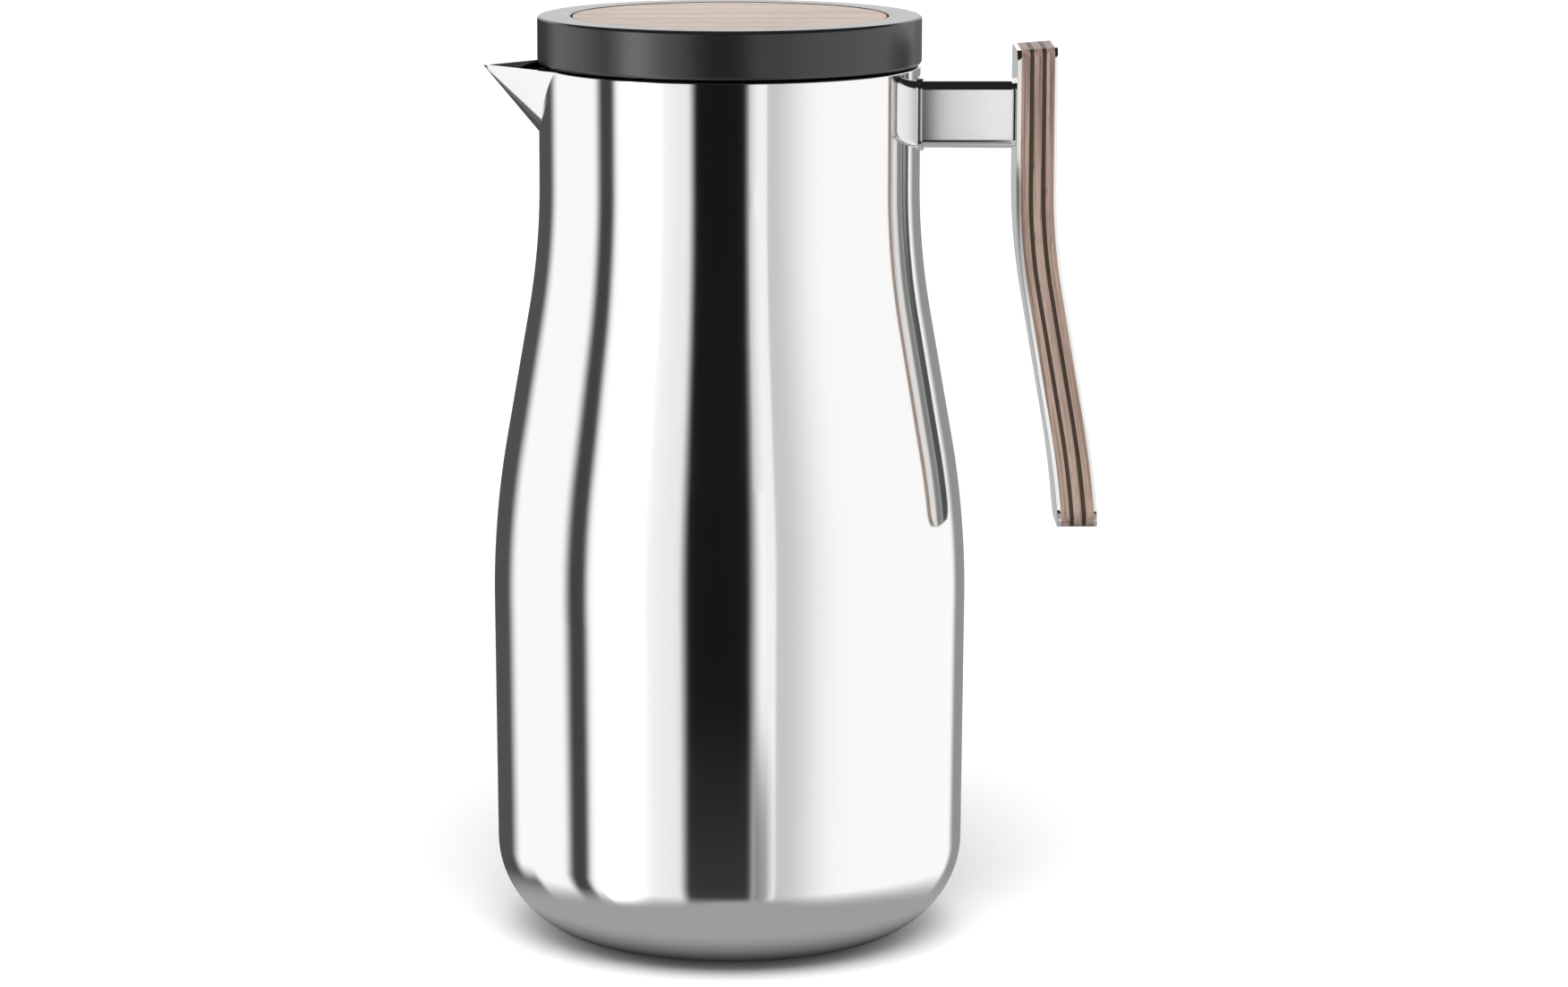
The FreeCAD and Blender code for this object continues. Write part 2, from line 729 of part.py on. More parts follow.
def make_lid():
    screw = turned("stem_screw", [
        ("0", "stem_screw_end"),
        ("stem_screw_radius", "stem_screw_end"),
        ("stem_screw_radius", "stem_screw_seat"),
        ("stem_screw_head", "stem_screw_seat"),
        ("stem_screw_head", "deck_top"),
        ("0", "deck_top"),
    ])
    stem_blank = turned("stem_blank", [
        ("0", "stem_foot"),
        ("stem_flange", "stem_foot"),
        ("stem_flange", "stem_flange_top"),
        ("stem_radius", "stem_flange_top"),
        ("stem_radius", "plate_foot"),
        ("0", "plate_foot"),
    ])
    stem = combine("Cut", "lid_stem", stem_blank, screw)
    plug_blank = turned("plug_blank", [
        ("0", "plate_foot"),
        ("plug_bore", "plate_foot"),
        ("plug_bore", "plug_foot"),
        ("plug_radius", "plug_foot"),
        ("plug_radius", "plug_flange_foot"),
        ("plug_flange", "plug_flange_foot"),
        ("plug_flange", "deck_foot"),
        ("0", "deck_foot"),
    ])
    plug = combine("Cut", "lid_plug", plug_blank, screw)
    seal = ring("plug_seal", "plug_seal_bore", "plug_seal_radius", "plug_seal_foot", "plug_flange_foot")
    cover_blank = turned("cover_blank", [
        ("0", "deck_foot"),
        ("lid_bore", "deck_foot"),
        ("lid_bore", "lid_foot"),
        ("lid_radius - lid_foot_round", "lid_foot", "lid_foot_round"),
        ("lid_radius", "lid_foot + lid_foot_round"),
        ("lid_radius", "lid_top - lid_top_round", "lid_top_round"),
        ("lid_radius - lid_top_round", "lid_top"),
        ("inlay_recess", "lid_top"),
        ("inlay_recess", "deck_top"),
        ("0", "deck_top"),
    ])
    cover = combine("Cut", "lid_cover", cover_blank, screw)
    inlay = turned("lid_wood_disc", [
        ("0", "deck_top"),
        ("inlay_radius", "deck_top"),
        ("inlay_radius", "inlay_top - inlay_round", "inlay_round"),
        ("inlay_radius - inlay_round", "inlay_top"),
        ("0", "inlay_top"),
    ])
    foam = ring("lid_insulation", "foam_bore", "foam_radius", "deck_foot - foam_thick", "deck_foot")
    return [cover, inlay, plug, seal, stem, screw, foam]


arm_screws = make_arm_screws()
plate_screws = make_plate_screws()
pieces = make_shell_and_spout(arm_screws)
pieces += make_base_pad()
pieces += make_flask()
pieces += make_neck(arm_screws)
pieces += make_arm(arm_screws, plate_screws)
pieces += make_grip(plate_screws)
pieces += [arm_screws, plate_screws]
pieces += make_stopper()
pieces += make_valve()
pieces += make_lid()
doc.recompute()

for thing in doc.Objects:
    if "Invalid" in thing.State or "Error" in thing.State:
        raise RuntimeError(f"{thing.Label} did not recompute: {thing.State}")
for piece in pieces:
    if piece.Shape.isNull() or not piece.Shape.isValid():
        raise RuntimeError(f"{piece.Label} has no valid shape")
    piece.Shape.exportStep(f"parts/{piece.Label}.step")
    print(piece.Label, len(piece.Shape.Solids), round(piece.Shape.Volume, 1))
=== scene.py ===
import bpy
import math
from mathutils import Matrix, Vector


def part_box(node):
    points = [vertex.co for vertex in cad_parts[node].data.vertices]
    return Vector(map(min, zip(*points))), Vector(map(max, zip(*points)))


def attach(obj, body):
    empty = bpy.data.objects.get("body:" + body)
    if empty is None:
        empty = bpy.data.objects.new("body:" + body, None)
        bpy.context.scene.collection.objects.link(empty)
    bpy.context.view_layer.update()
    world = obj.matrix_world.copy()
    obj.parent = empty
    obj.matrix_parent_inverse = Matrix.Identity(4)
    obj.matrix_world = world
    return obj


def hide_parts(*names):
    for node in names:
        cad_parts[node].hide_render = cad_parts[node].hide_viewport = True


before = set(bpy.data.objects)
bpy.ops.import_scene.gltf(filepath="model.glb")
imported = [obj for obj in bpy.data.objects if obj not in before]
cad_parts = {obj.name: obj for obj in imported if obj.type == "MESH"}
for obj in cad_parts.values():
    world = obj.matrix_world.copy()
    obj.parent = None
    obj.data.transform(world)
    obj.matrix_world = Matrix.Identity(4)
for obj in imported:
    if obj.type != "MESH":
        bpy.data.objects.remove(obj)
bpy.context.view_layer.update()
mm = 0.001
finishes = {}  # by the record's material slot, filled beside the pieces that need them
print("frame loaded:", len(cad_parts), "nodes")


# Shader maths: a Wire is one output socket that can stand in a Python sum
class Wire:
    def __init__(self, finish, socket):
        self.finish = finish
        self.socket = socket

    def math(self, operation, first, second):
        return self.finish.add("ShaderNodeMath", {"operation": operation}, {0: first, 1: second})

    def __add__(self, other):
        return self.math("ADD", self, other)

    def __radd__(self, other):
        return self.math("ADD", other, self)

    def __sub__(self, other):
        return self.math("SUBTRACT", self, other)

    def __rsub__(self, other):
        return self.math("SUBTRACT", other, self)

    def __mul__(self, other):
        return self.math("MULTIPLY", self, other)

    def __rmul__(self, other):
        return self.math("MULTIPLY", other, self)

    def __pow__(self, other):
        return self.math("POWER", self, other)

    def __rpow__(self, other):
        return self.math("POWER", other, self)


# One material. Constants go on the shader's own sockets, and add() makes any node
class Finish:
    def __init__(self, name, **constants):
        self.material = bpy.data.materials.new(name)
        self.material.use_nodes = True
        self.tree = self.material.node_tree
        self.shader = self.tree.nodes["Principled BSDF"]
        for socketName, value in constants.items():
            self.shader.inputs[socketName.replace("_", " ")].default_value = value

    def add(self, kind, settings=None, values=None, out=0):
        node = self.tree.nodes.new(kind)
        for key, value in (settings or {}).items():
            setattr(node, key, value)
        for key, value in (values or {}).items():
            if isinstance(value, Wire):
                self.tree.links.new(value.socket, node.inputs[key])
            else:
                node.inputs[key].default_value = value
        return Wire(self, node.outputs[out])

    def feed(self, **wires):
        for socketName, wire in wires.items():
            self.tree.links.new(wire.socket, self.shader.inputs[socketName.replace("_", " ")])

    def place(self, scale=(1.0, 1.0, 1.0), turn=(0.0, 0.0, 0.0), attribute=None):
        if attribute:
            source = self.add("ShaderNodeAttribute", {"attribute_name": attribute}, out="Vector")
        else:
            source = self.add("ShaderNodeTexCoord", out="Object")
        return self.add("ShaderNodeMapping", values={"Vector": source, "Rotation": turn, "Scale": scale})

    def axis(self, where, letter):
        return self.add("ShaderNodeSeparateXYZ", values={"Vector": where}, out=letter)

    def noise(self, where, scale=1.0, detail=2.0, roughness=0.5):
        values = {"Vector": where, "Scale": scale, "Detail": detail, "Roughness": roughness}
        return self.add("ShaderNodeTexNoise", values=values)

    def between(self, wire, low, high, newLow=0.0, newHigh=1.0):
        values = {"Value": wire, "From Min": low, "From Max": high, "To Min": newLow, "To Max": newHigh}
        return self.add("ShaderNodeMapRange", {"interpolation_type": "SMOOTHSTEP"}, values)

    def mix(self, factor, first, second):
        values = {0: factor, 6: first, 7: second}  # 6, 7 and output 2 are the node's colours
        return self.add("ShaderNodeMix", {"data_type": "RGBA"}, values, out=2)

    def bump(self, height, distance):
        return self.add("ShaderNodeBump", values={"Height": height, "Distance": distance})


def grey(level):
    return (level, level, level, 1.0)


# Modelling helpers. Places are in metres, profiles and outlines in millimetres

meshing = {
    "weld": 0.001 * mm,  # closer vertices are merged
    "smoothAngle": 32.0,
    "flatWeight": 100,  # flats stay flat beside their round edges
    "bevelAngle": 40.0,
    "bevelSteps": 2,
}


def pickOnly(piece):
    bpy.ops.object.select_all(action="DESELECT")
    piece.select_set(True)
    bpy.context.view_layer.objects.active = piece


def editMode():
    bpy.ops.object.mode_set(mode="EDIT")


def editAll():
    editMode()
    bpy.ops.mesh.select_all(action="SELECT")


def objectMode():
    bpy.ops.object.mode_set(mode="OBJECT")


# Goes into edit mode with only the vertices or faces that pass the test
def pickParts(piece, kind, test):
    pickOnly(piece)
    editAll()
    bpy.ops.mesh.select_mode(type=kind)
    bpy.ops.mesh.select_all(action="DESELECT")
    objectMode()
    parts = piece.data.vertices if kind == "VERT" else piece.data.polygons
    for part in parts:
        part.select = test(part)
    editMode()


# Merges doubles, turns all faces outwards and leaves edit mode
def closeMesh():
    bpy.ops.mesh.select_all(action="SELECT")
    bpy.ops.mesh.remove_doubles(threshold=meshing["weld"])
    bpy.ops.mesh.normals_make_consistent(inside=False)
    objectMode()


# A chain of vertices through the given places, extruded one by one
def traceLine(name, places, closed=False):
    bpy.ops.object.select_all(action="DESELECT")
    bpy.ops.mesh.primitive_plane_add(size=mm)
    piece = bpy.context.object
    piece.name = name
    piece.data.name = name
    editAll()
    bpy.ops.mesh.select_mode(type="VERT")
    bpy.ops.mesh.merge(type="CENTER")
    bpy.ops.transform.translate(value=places[0])
    for here, there in zip(places, places[1:]):
        step = Vector(there) - Vector(here)
        bpy.ops.mesh.extrude_vertices_move(TRANSFORM_OT_translate={"value": step})
    if closed:
        bpy.ops.mesh.select_all(action="DESELECT")
        objectMode()
        piece.data.vertices[0].select = True
        piece.data.vertices[len(places) - 1].select = True
        editMode()
        bpy.ops.mesh.edge_face_add()
    objectMode()
    return piece


# A closed line filled with one face, left selected in edit mode
def fillLine(name, places):
    piece = traceLine(name, places, closed=True)
    pickOnly(piece)
    editAll()
    bpy.ops.mesh.edge_face_add()
    return piece


def drawOut(name, places, shift):
    piece = fillLine(name, places)
    bpy.ops.mesh.extrude_region_move(TRANSFORM_OT_translate={"value": shift})
    bpy.ops.mesh.select_all(action="SELECT")
    bpy.ops.mesh.normals_make_consistent(inside=False)
    objectMode()
    return piece


# A flat outline across the (y, z) plane, drawn out along x
def makeBar(name, outline, start, end):
    places = [(start * mm, y * mm, z * mm) for y, z in outline]
    return drawOut(name, places, ((end - start) * mm, 0, 0))


def spinRound(piece, segments, angle=2 * math.pi):
    pickOnly(piece)
    editAll()
    bpy.ops.mesh.spin(steps=segments, angle=angle, center=(0, 0, 0), axis=(0, 0, 1))
    closeMesh()
    return piece


# A closed (radius, height) profile turned about the vessel's axis
def spinProfile(name, profile, segments):
    places = [(radius * mm, 0.0, height * mm) for radius, height in profile]
    return spinRound(traceLine(name, places, closed=True), segments)


# Points of an arc, with its angles in degrees from the first axis
def arcPoints(centre, radius, startAngle, endAngle, steps):
    points = []
    for index in range(steps + 1):
        angle = math.radians(startAngle + (endAngle - startAngle) * index / steps)
        points.append((centre[0] + radius * math.cos(angle), centre[1] + radius * math.sin(angle)))
    return points


# A rounded rectangle; radii run bottom right, top right, top left, bottom left
def roundedOutline(low, high, radii, steps):
    corners = [(high[0], low[1], -90), (high[0], high[1], 0), (low[0], high[1], 90), (low[0], low[1], 180)]
    outline = []
    for (x, y, angle), radius in zip(corners, radii):
        centreX = x - radius if x == high[0] else x + radius
        centreY = y - radius if y == high[1] else y + radius
        outline += arcPoints((centreX, centreY), radius, angle, angle + 90, steps)
    return outline


def applyModifier(piece, kind, **settings):
    pickOnly(piece)
    modifier = piece.modifiers.new(kind.lower(), kind)
    for key, value in settings.items():
        setattr(modifier, key, value)
    bpy.ops.object.modifier_apply(modifier=modifier.name)


def cutWith(piece, cutter, operation="DIFFERENCE"):
    applyModifier(piece, "BOOLEAN", object=cutter, operation=operation, solver="EXACT")
    bpy.data.objects.remove(cutter)


def softEdges(piece, width):
    limit = math.radians(meshing["bevelAngle"])
    applyModifier(piece, "BEVEL", width=width * mm, segments=meshing["bevelSteps"],
                  limit_method="ANGLE", angle_limit=limit, harden_normals=False)


def smooth(piece):
    pickOnly(piece)
    bpy.ops.object.shade_smooth_by_angle(angle=math.radians(meshing["smoothAngle"]))
    applyModifier(piece, "WEIGHTED_NORMAL", keep_sharp=True, weight=meshing["flatWeight"])


# Last step of each piece: smooth shading, its finish, and what it stands for and rides on
def dress(piece, body, slot, node):
    smooth(piece)
    piece.data.materials.clear()
    piece.data.materials.append(finishes[slot].material)
    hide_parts(node)
    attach(piece, body)


# Lowest and highest point and radius of a round node, in millimetres
def spanOf(node):
    low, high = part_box(node)
    return low.z / mm, high.z / mm, high.x / mm


# Camera

camera = {
    "distance": 1294.5,
    "height": 357.5,
    "pitch": 10.41,
    "lens": 112.05,
    "sensor": 36.0,
    "shiftX": 0.0347,
    "clipEnd": 50.0,
}


def addCamera():
    data = bpy.data.cameras.new("camera")
    data.lens = camera["lens"]
    data.sensor_width = camera["sensor"]
    data.shift_x = camera["shiftX"]
    data.clip_end = camera["clipEnd"]
    eye = bpy.data.objects.new("camera", data)
    eye.location = (0.0, -camera["distance"] * mm, camera["height"] * mm)
    eye.rotation_euler = (math.radians(90.0 - camera["pitch"]), 0.0, 0.0)
    bpy.context.scene.collection.objects.link(eye)
    bpy.context.scene.camera = eye


# Studio: pale floor, one soft light from above the camera, and a white dome for the mirrors

studio = {
    "sky": 0.5,
    "mirrorSky": 1.07,
    "mirrorReach": 6.0,
    "domeSegments": 32,
    "domeRings": 16,
    "sun": 2.6,
    "sunSpread": 44.0,
    "sunTilt": 32.0,
    "floorSize": 14.0,
    "floorTone": 0.97,
    "floorRoughness": 0.9,
}


# A card shows in mirrors only
def hangCard(card, paint):
    card.data.materials.append(paint.material)
    card.visible_camera = False
    card.visible_diffuse = False
    card.visible_shadow = False
    card.visible_transmission = False


def makeGlow(name, level=0.0):
    return Finish(name, Base_Color=grey(0.0), Specular_IOR_Level=0.0,
                  Emission_Color=grey(level), Emission_Strength=1.0)


def addStudio():
    scene = bpy.context.scene
    scene.view_settings.view_transform = "Standard"
    world = bpy.data.worlds.new("studio")
    world.use_nodes = True
    background = world.node_tree.nodes["Background"]
    background.inputs["Color"].default_value = grey(1.0)
    background.inputs["Strength"].default_value = studio["sky"]
    scene.world = world
    bpy.ops.mesh.primitive_plane_add(size=studio["floorSize"])
    floor = bpy.context.object
    floor.name = "floor"
    paint = Finish("paleFloor", Base_Color=grey(studio["floorTone"]), Roughness=studio["floorRoughness"])
    floor.data.materials.append(paint.material)
    floor.visible_glossy = False
    lamp = bpy.data.lights.new("overhead", "SUN")
    lamp.energy = studio["sun"]
    lamp.angle = math.radians(studio["sunSpread"])
    overhead = bpy.data.objects.new("overhead", lamp)
    overhead.rotation_euler = (math.radians(studio["sunTilt"]), 0.0, 0.0)
    overhead.visible_glossy = False
    scene.collection.objects.link(overhead)
    segments, rings = studio["domeSegments"], studio["domeRings"]
    bpy.ops.mesh.primitive_uv_sphere_add(segments=segments, ring_count=rings, radius=studio["mirrorReach"])
    dome = bpy.context.object
    dome.name = "mirrorSky"
    hangCard(dome, makeGlow("mirrorSky", studio["mirrorSky"]))
    dome.visible_camera = True  # a white backdrop above the floor


# Curved flags round the object that only its reflections see, in metres and degrees.
# Azimuth 0 is the camera's side, negative is left.
flags = {
    "radius": 1.7,
    "spacing": 0.02,  # each flag stands this much outside the one before
    "segments": 24,
    "low": -2.2,
    "high": 2.6,
    "hardEdge": 0.001,
    "footBand": (-0.5, -0.3),  # heights between which footLevel gives way to level
    "cards": {
        "frontFlag": {"from": -26, "to": 16, "softLeft": 7, "softRight": 8,
                      "level": 0.008, "footLevel": 0.045},
        "frontHaze": {"from": -58, "to": -24, "softLeft": 32, "softRight": 1,
                      "level": 0.93, "curve": 2.0},
        "frontFill": {"from": 20.5, "to": 70, "softLeft": 2, "softRight": 46,
                      "level": 0.63, "curve": 2.4},
        "leftLight": {"from": -68, "to": -34, "softLeft": 5, "softRight": 26,
                      "level": 3.4, "curve": 1.6},
        "leftStrip": {"from": -89, "to": -69, "softLeft": 8, "softRight": 6,
                      "level": 0.055},
        "backLeftFlag": {"from": -176, "to": -124, "softLeft": 2, "softRight": 14,
                         "level": 0.085, "high": 0.25},
        "beakFlag": {"from": -150, "to": -109.3, "softLeft": 2, "softRight": 8,
                     "level": 0.07, "high": -0.5, "softHigh": 0.4},
        "backLeftTall": {"from": -165, "to": -124, "softLeft": 8, "softRight": 14,
                         "level": 0.085, "low": 0.23, "high": 0.7, "softHigh": 0.15},
        "backRightTall": {"from": 137, "to": 165, "softLeft": 9, "softRight": 8,
                          "level": 0.3, "low": 0.23, "high": 0.7, "softHigh": 0.15},
        "footHaze": {"from": 11, "to": 23, "softLeft": 2, "softRight": 7,
                     "level": 0.35, "high": -0.36, "softHigh": 0.09},
        "backRightFlag": {"from": 137, "to": 176, "softLeft": 9, "softRight": 2,
                          "level": 0.3, "high": 0.25},
        "backStrip": {"from": 175, "to": 184.5, "softLeft": 1.5, "softRight": 1.5,
                      "level": 0.5, "high": 0.2},
    },
}


def addFlag(name, card, radius):
    start, end, level = card["from"], card["to"], card["level"]
    low, high = card.get("low", flags["low"]), card.get("high", flags["high"])
    angle = math.radians(end - 90.0)  # a spin turns clockwise, so it starts at the far end
    x = radius * math.cos(angle)
    y = radius * math.sin(angle)
    flag = traceLine(name, [(x, y, low), (x, y, high)])
    spinRound(flag, flags["segments"], math.radians(end - start))
    paint = makeGlow(name)
    middle = math.radians((start + end) / 2)
    half = math.radians((end - start) / 2)
    turned = paint.place(turn=(0.0, 0.0, -middle))
    across = paint.axis(turned, "X")
    depth = paint.axis(turned, "Y")
    height = paint.axis(turned, "Z")
    azimuth = across.math("ARCTAN2", across, depth * -1.0)
    rise = paint.between(azimuth, -half, -half + math.radians(card["softLeft"]))
    fall = paint.between(azimuth, half - math.radians(card["softRight"]), half, 1.0, 0.0)
    drop = paint.between(height, high - card.get("softHigh", flags["hardEdge"]), high, 1.0, 0.0)
    aboveFoot = paint.between(height, *flags["footBand"])
    tone = paint.mix(aboveFoot, grey(card.get("footLevel", level)), grey(level))
    paint.feed(Alpha=drop * (rise * fall) ** card.get("curve", 1.0), Emission_Color=tone)
    hangCard(flag, paint)


# Round cards: a grey table far below, a grey floor and a darker disc close round the foot that paint the
# floor's shade and contact shadow in the foot's reflection, and a dark ceiling
discs = {
    "vertices": 64,
    "toneBand": (0.3, 0.85),  # shares of the radius between which middle gives way to level
    "cards": {
        "tableGlow": {"side": 0.06, "depth": -0.58, "height": -0.5, "radius": 0.5, "soft": 0.22,
                      "level": 0.4, "middle": 0.36},
        "tableBack": {"side": 0.1, "depth": 0.15, "height": -0.5, "radius": 0.4, "soft": 0.1,
                      "level": 0.4, "middle": 0.4},
        # grey floor round the foot for the reflections: painted shade of the floor there
        "tableNear": {"side": 0.0, "depth": -0.02, "height": 0.0002, "radius": 0.1, "soft": 0.035,
                      "level": 0.38, "middle": 0.38},
        # painted contact shadow: a dark disc under the foot that only the foot's reflection sees
        "paintedContactShadow": {"side": 0.0, "depth": 0.0, "height": 0.0004, "radius": 0.062, "soft": 0.018,
                         "level": 0.03, "middle": 0.02},
        "ceiling": {"side": 0.0, "depth": -0.6, "height": 0.7, "radius": 1.5, "soft": 0.2,
                    "level": 0.015, "middle": 0.015},
    },
}


def addDisc(name, disc):
    radius = disc["radius"]
    bpy.ops.mesh.primitive_circle_add(vertices=discs["vertices"], radius=radius, fill_type="NGON")
    card = bpy.context.object
    card.name = name
    card.location = (disc["side"], disc["depth"], disc["height"])
    paint = makeGlow(name)
    flat = paint.place((1.0, 1.0, 0.0))
    reach = paint.add("ShaderNodeVectorMath", {"operation": "LENGTH"}, {0: flat}, out="Value")
    share = paint.between(reach, radius - disc["soft"], radius, 1.0, 0.0)
    start, end = discs["toneBand"]
    outward = paint.between(reach, start * radius, end * radius)
    paint.feed(Alpha=share, Emission_Color=paint.mix(outward, grey(disc["middle"]), grey(disc["level"])))
    hangCard(card, paint)


# Small cards that light the arm's front face and the edges of the grip's plates
frontCards = {
    "depth": -0.35,
    "spacing": 0.002,
    "softLeft": 0.006,
    "cards": {
        "armCard": {"left": 0.064, "right": 0.097, "low": 0.171, "high": 0.268,
                    "dim": 0.68, "bright": 0.95},
        "gripCard": {"left": 0.095, "right": 0.128, "low": 0.0, "high": 0.268,
                     "dim": 1.0, "bright": 1.0},
    },
}


def addFrontCard(name, card, depth):
    left, right, low, high = card["left"], card["right"], card["low"], card["high"]
    corners = [(left, low), (right, low), (right, high), (left, high)]
    piece = fillLine(name, [(x, depth, z) for x, z in corners])
    objectMode()
    paint = makeGlow(name)
    across = paint.axis(paint.place(), "X")
    tone = paint.mix(paint.between(across, left, right), grey(card["dim"]), grey(card["bright"]))
    paint.feed(Alpha=paint.between(across, left, left + frontCards["softLeft"]), Emission_Color=tone)
    hangCard(piece, paint)


addCamera()
addStudio()
for order, (name, card) in enumerate(flags["cards"].items()):
    addFlag(name, card, flags["radius"] + flags["spacing"] * order)
for name, card in discs["cards"].items():
    addDisc(name, card)
for order, (name, card) in enumerate(frontCards["cards"].items()):
    addFrontCard(name, card, frontCards["depth"] - frontCards["spacing"] * order)
print("stage ready")


# Polished steel: faint haze and polishing lines that run round the vessel

steel = {
    "colour": (0.88, 0.88, 0.875, 1.0),
    "roughness": 0.055,
    "hazeScale": 60.0,
    "hazeRoughness": 0.03,
    "lineScale": (60.0, 60.0, 9000.0),
    "lineRoughness": 0.01,
    "lineDepth": 0.0000004,
}


def makePolishedSteel():
    finish = Finish("polishedSteel", Base_Color=steel["colour"], Metallic=1.0)
    haze = finish.noise(finish.place(), steel["hazeScale"], detail=3.0)
    lines = finish.noise(finish.place(steel["lineScale"]))
    roughness = steel["roughness"] + haze * steel["hazeRoughness"] + lines * steel["lineRoughness"]
    finish.feed(Roughness=roughness, Normal=finish.bump(lines, steel["lineDepth"]))
    return finish


finishes["polished_steel"] = makePolishedSteel()


# Shell: heel, belly, straight slope, flare and neck in one line

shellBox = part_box("outer_shell")
vessel = {
    "bellyRadius": shellBox[1].x / mm,
    "rim": shellBox[1].z / mm,
    "foot": shellBox[0].z / mm,
    "wall": 0.8,
    "footCurve": 25.7,
    "bellyTaper": 0.5,
    "bellyHeight": 92.9,
    "bellyCurve": 244.0,
    "lean": 10.0,
    "slopeRise": 34.6,
    "flareCurve": 200.0,
    "neckRise": 30.8,
    "padRecess": 34.0,
    "padThick": 2.0,
    "outsideSteps": 28,
    "insideSteps": 12,
    "rimSteps": 8,
    "bellyShares": (0.25, 0.5, 0.75),
    "neckShares": (0.3, 0.6, 0.9),
    "plugLow": 150.0,
    "plugHigh": 300.0,
    "segments": 288,
}
leanAngle = math.radians(vessel["lean"])
swellRadius = vessel["bellyRadius"] - vessel["bellyCurve"] * (1 - math.cos(leanAngle))
swellHeight = vessel["bellyHeight"] + vessel["bellyCurve"] * math.sin(leanAngle)
flareRadius = swellRadius - vessel["slopeRise"] * math.tan(leanAngle)
flareHeight = swellHeight + vessel["slopeRise"]
neckRadius = flareRadius - vessel["flareCurve"] * (1 - math.cos(leanAngle))
neckFoot = flareHeight + vessel["flareCurve"] * math.sin(leanAngle)
neckBore = neckRadius - vessel["wall"]
bellyCentre = (vessel["bellyRadius"] - vessel["bellyCurve"], vessel["bellyHeight"])
flareCentre = (neckRadius + vessel["flareCurve"], neckFoot)


# The wall's line from the heel to just under the rim, at a distance inside the outer face
def wallLine(inset, steps):
    taper, lean = vessel["bellyTaper"], vessel["lean"]
    heelRadius = vessel["bellyRadius"] - taper
    heelHeight = vessel["foot"] + vessel["footCurve"]
    footCentre = (heelRadius - vessel["footCurve"], heelHeight)
    line = arcPoints(footCentre, vessel["footCurve"] - inset, -90, 0, steps)
    for share in vessel["bellyShares"]:
        height = heelHeight + (vessel["bellyHeight"] - heelHeight) * share
        line.append((heelRadius + taper * share - inset, height))
    line += arcPoints(bellyCentre, vessel["bellyCurve"] - inset, 0, lean, steps)
    line += arcPoints(flareCentre, vessel["flareCurve"] + inset, 180 + lean, 180, steps)
    for share in vessel["neckShares"]:
        line.append((neckRadius - inset, neckFoot + vessel["neckRise"] * share))
    return line


def makeShell(keelCutter):
    wall, foot, floor, recess = vessel["wall"], vessel["foot"], vessel["padThick"], vessel["padRecess"]
    rimRound = wall / 2
    rimCentre = (neckRadius - rimRound, vessel["rim"] - rimRound)
    profile = wallLine(0.0, vessel["outsideSteps"])
    profile += arcPoints(rimCentre, rimRound, 0, 180, vessel["rimSteps"])
    profile += reversed(wallLine(wall, vessel["insideSteps"]))
    profile += [(recess + wall, foot + wall), (recess + wall, floor + wall), (0.0, floor + wall)]
    profile += [(0.0, floor), (recess, floor), (recess, foot)]
    shell = spinProfile("shell", profile, vessel["segments"])
    cutWith(shell, keelCutter)
    dress(shell, "carafe", "polished_steel", "outer_shell")


# A round cutter that runs well past the neck at both ends
def neckPlug(radius):
    low, high = vessel["plugLow"], vessel["plugHigh"]
    profile = [(0.0, low), (radius, low), (radius, high), (0.0, high)]
    return spinProfile("neckPlug", profile, vessel["segments"])


# Spout: a folded sheet that narrows to one point, cut level with the rim

beak = {
    "length": 14.75,
    "halfWidth": 22.0,
    "foldDrop": 28.3,
    "keelCurve": 20.0,
    "rootDepth": 12.65,
    "overRim": 4.0,
    "wall": 0.8,
    "bendSteps": 20,
    "shares": (0.8, 0.6, 0.4, 0.25, 0.12, 0.05, 0.0),  # sizes of the section on its way to the tip
}
beakTip = Vector((-(neckRadius + beak["length"]), 0.0, vessel["rim"]))
beakReach = beak["length"] + beak["rootDepth"]
beakRimX = math.sqrt(neckRadius ** 2 - beak["halfWidth"] ** 2)
rootHalf = beak["halfWidth"] * beakReach / (neckRadius + beak["length"] - beakRimX)
rootDrop = beak["foldDrop"] * beakReach / beak["length"]


# The V across the root, from above the rim on one side to above it on the other
def beakSection():
    slope = math.atan2(rootDrop, rootHalf)
    turn = math.degrees(slope)
    centre = (0.0, vessel["rim"] - rootDrop + beak["keelCurve"] / math.cos(slope))
    edge = rootHalf + beak["overRim"] / math.tan(slope)
    top = vessel["rim"] + beak["overRim"]
    fold = arcPoints(centre, beak["keelCurve"], 270 - turn, 270 + turn, beak["bendSteps"])
    return [(-edge, top)] + fold + [(edge, top)]


def makeBeakCone(name, shift=0.0):
    root = -(neckRadius - beak["rootDepth"]) + shift
    tip = (beakTip + Vector((shift, 0.0, 0.0))) * mm
    cone = fillLine(name, [(root * mm, y * mm, z * mm) for y, z in beakSection()])
    size = 1.0
    for share in beak["shares"]:
        bpy.ops.mesh.extrude_region_move()
        bpy.ops.transform.resize(value=(share / size,) * 3, center_override=tip)
        size = share
    closeMesh()
    return cone


def makeSpout():
    facet = Vector((beakReach, rootHalf, 0.0)).cross(Vector((beakReach, 0.0, -rootDrop))).normalized()
    spout = makeBeakCone("spout")
    cutWith(spout, makeBeakCone("beakHollow", beak["wall"] / abs(facet.x)))
    pickOnly(spout)
    editAll()
    rim = (0, 0, vessel["rim"] * mm)
    bpy.ops.mesh.bisect(plane_co=rim, plane_no=(0, 0, 1), clear_outer=True, use_fill=True)
    objectMode()
    cutWith(spout, neckPlug(neckBore))
    dress(spout, "carafe", "polished_steel", "pouring_spout")


makeShell(makeBeakCone("beakCutter"))
print("shell done")
makeSpout()
print("spout done")


# Arm: a polished square bar on a thin saddle plate

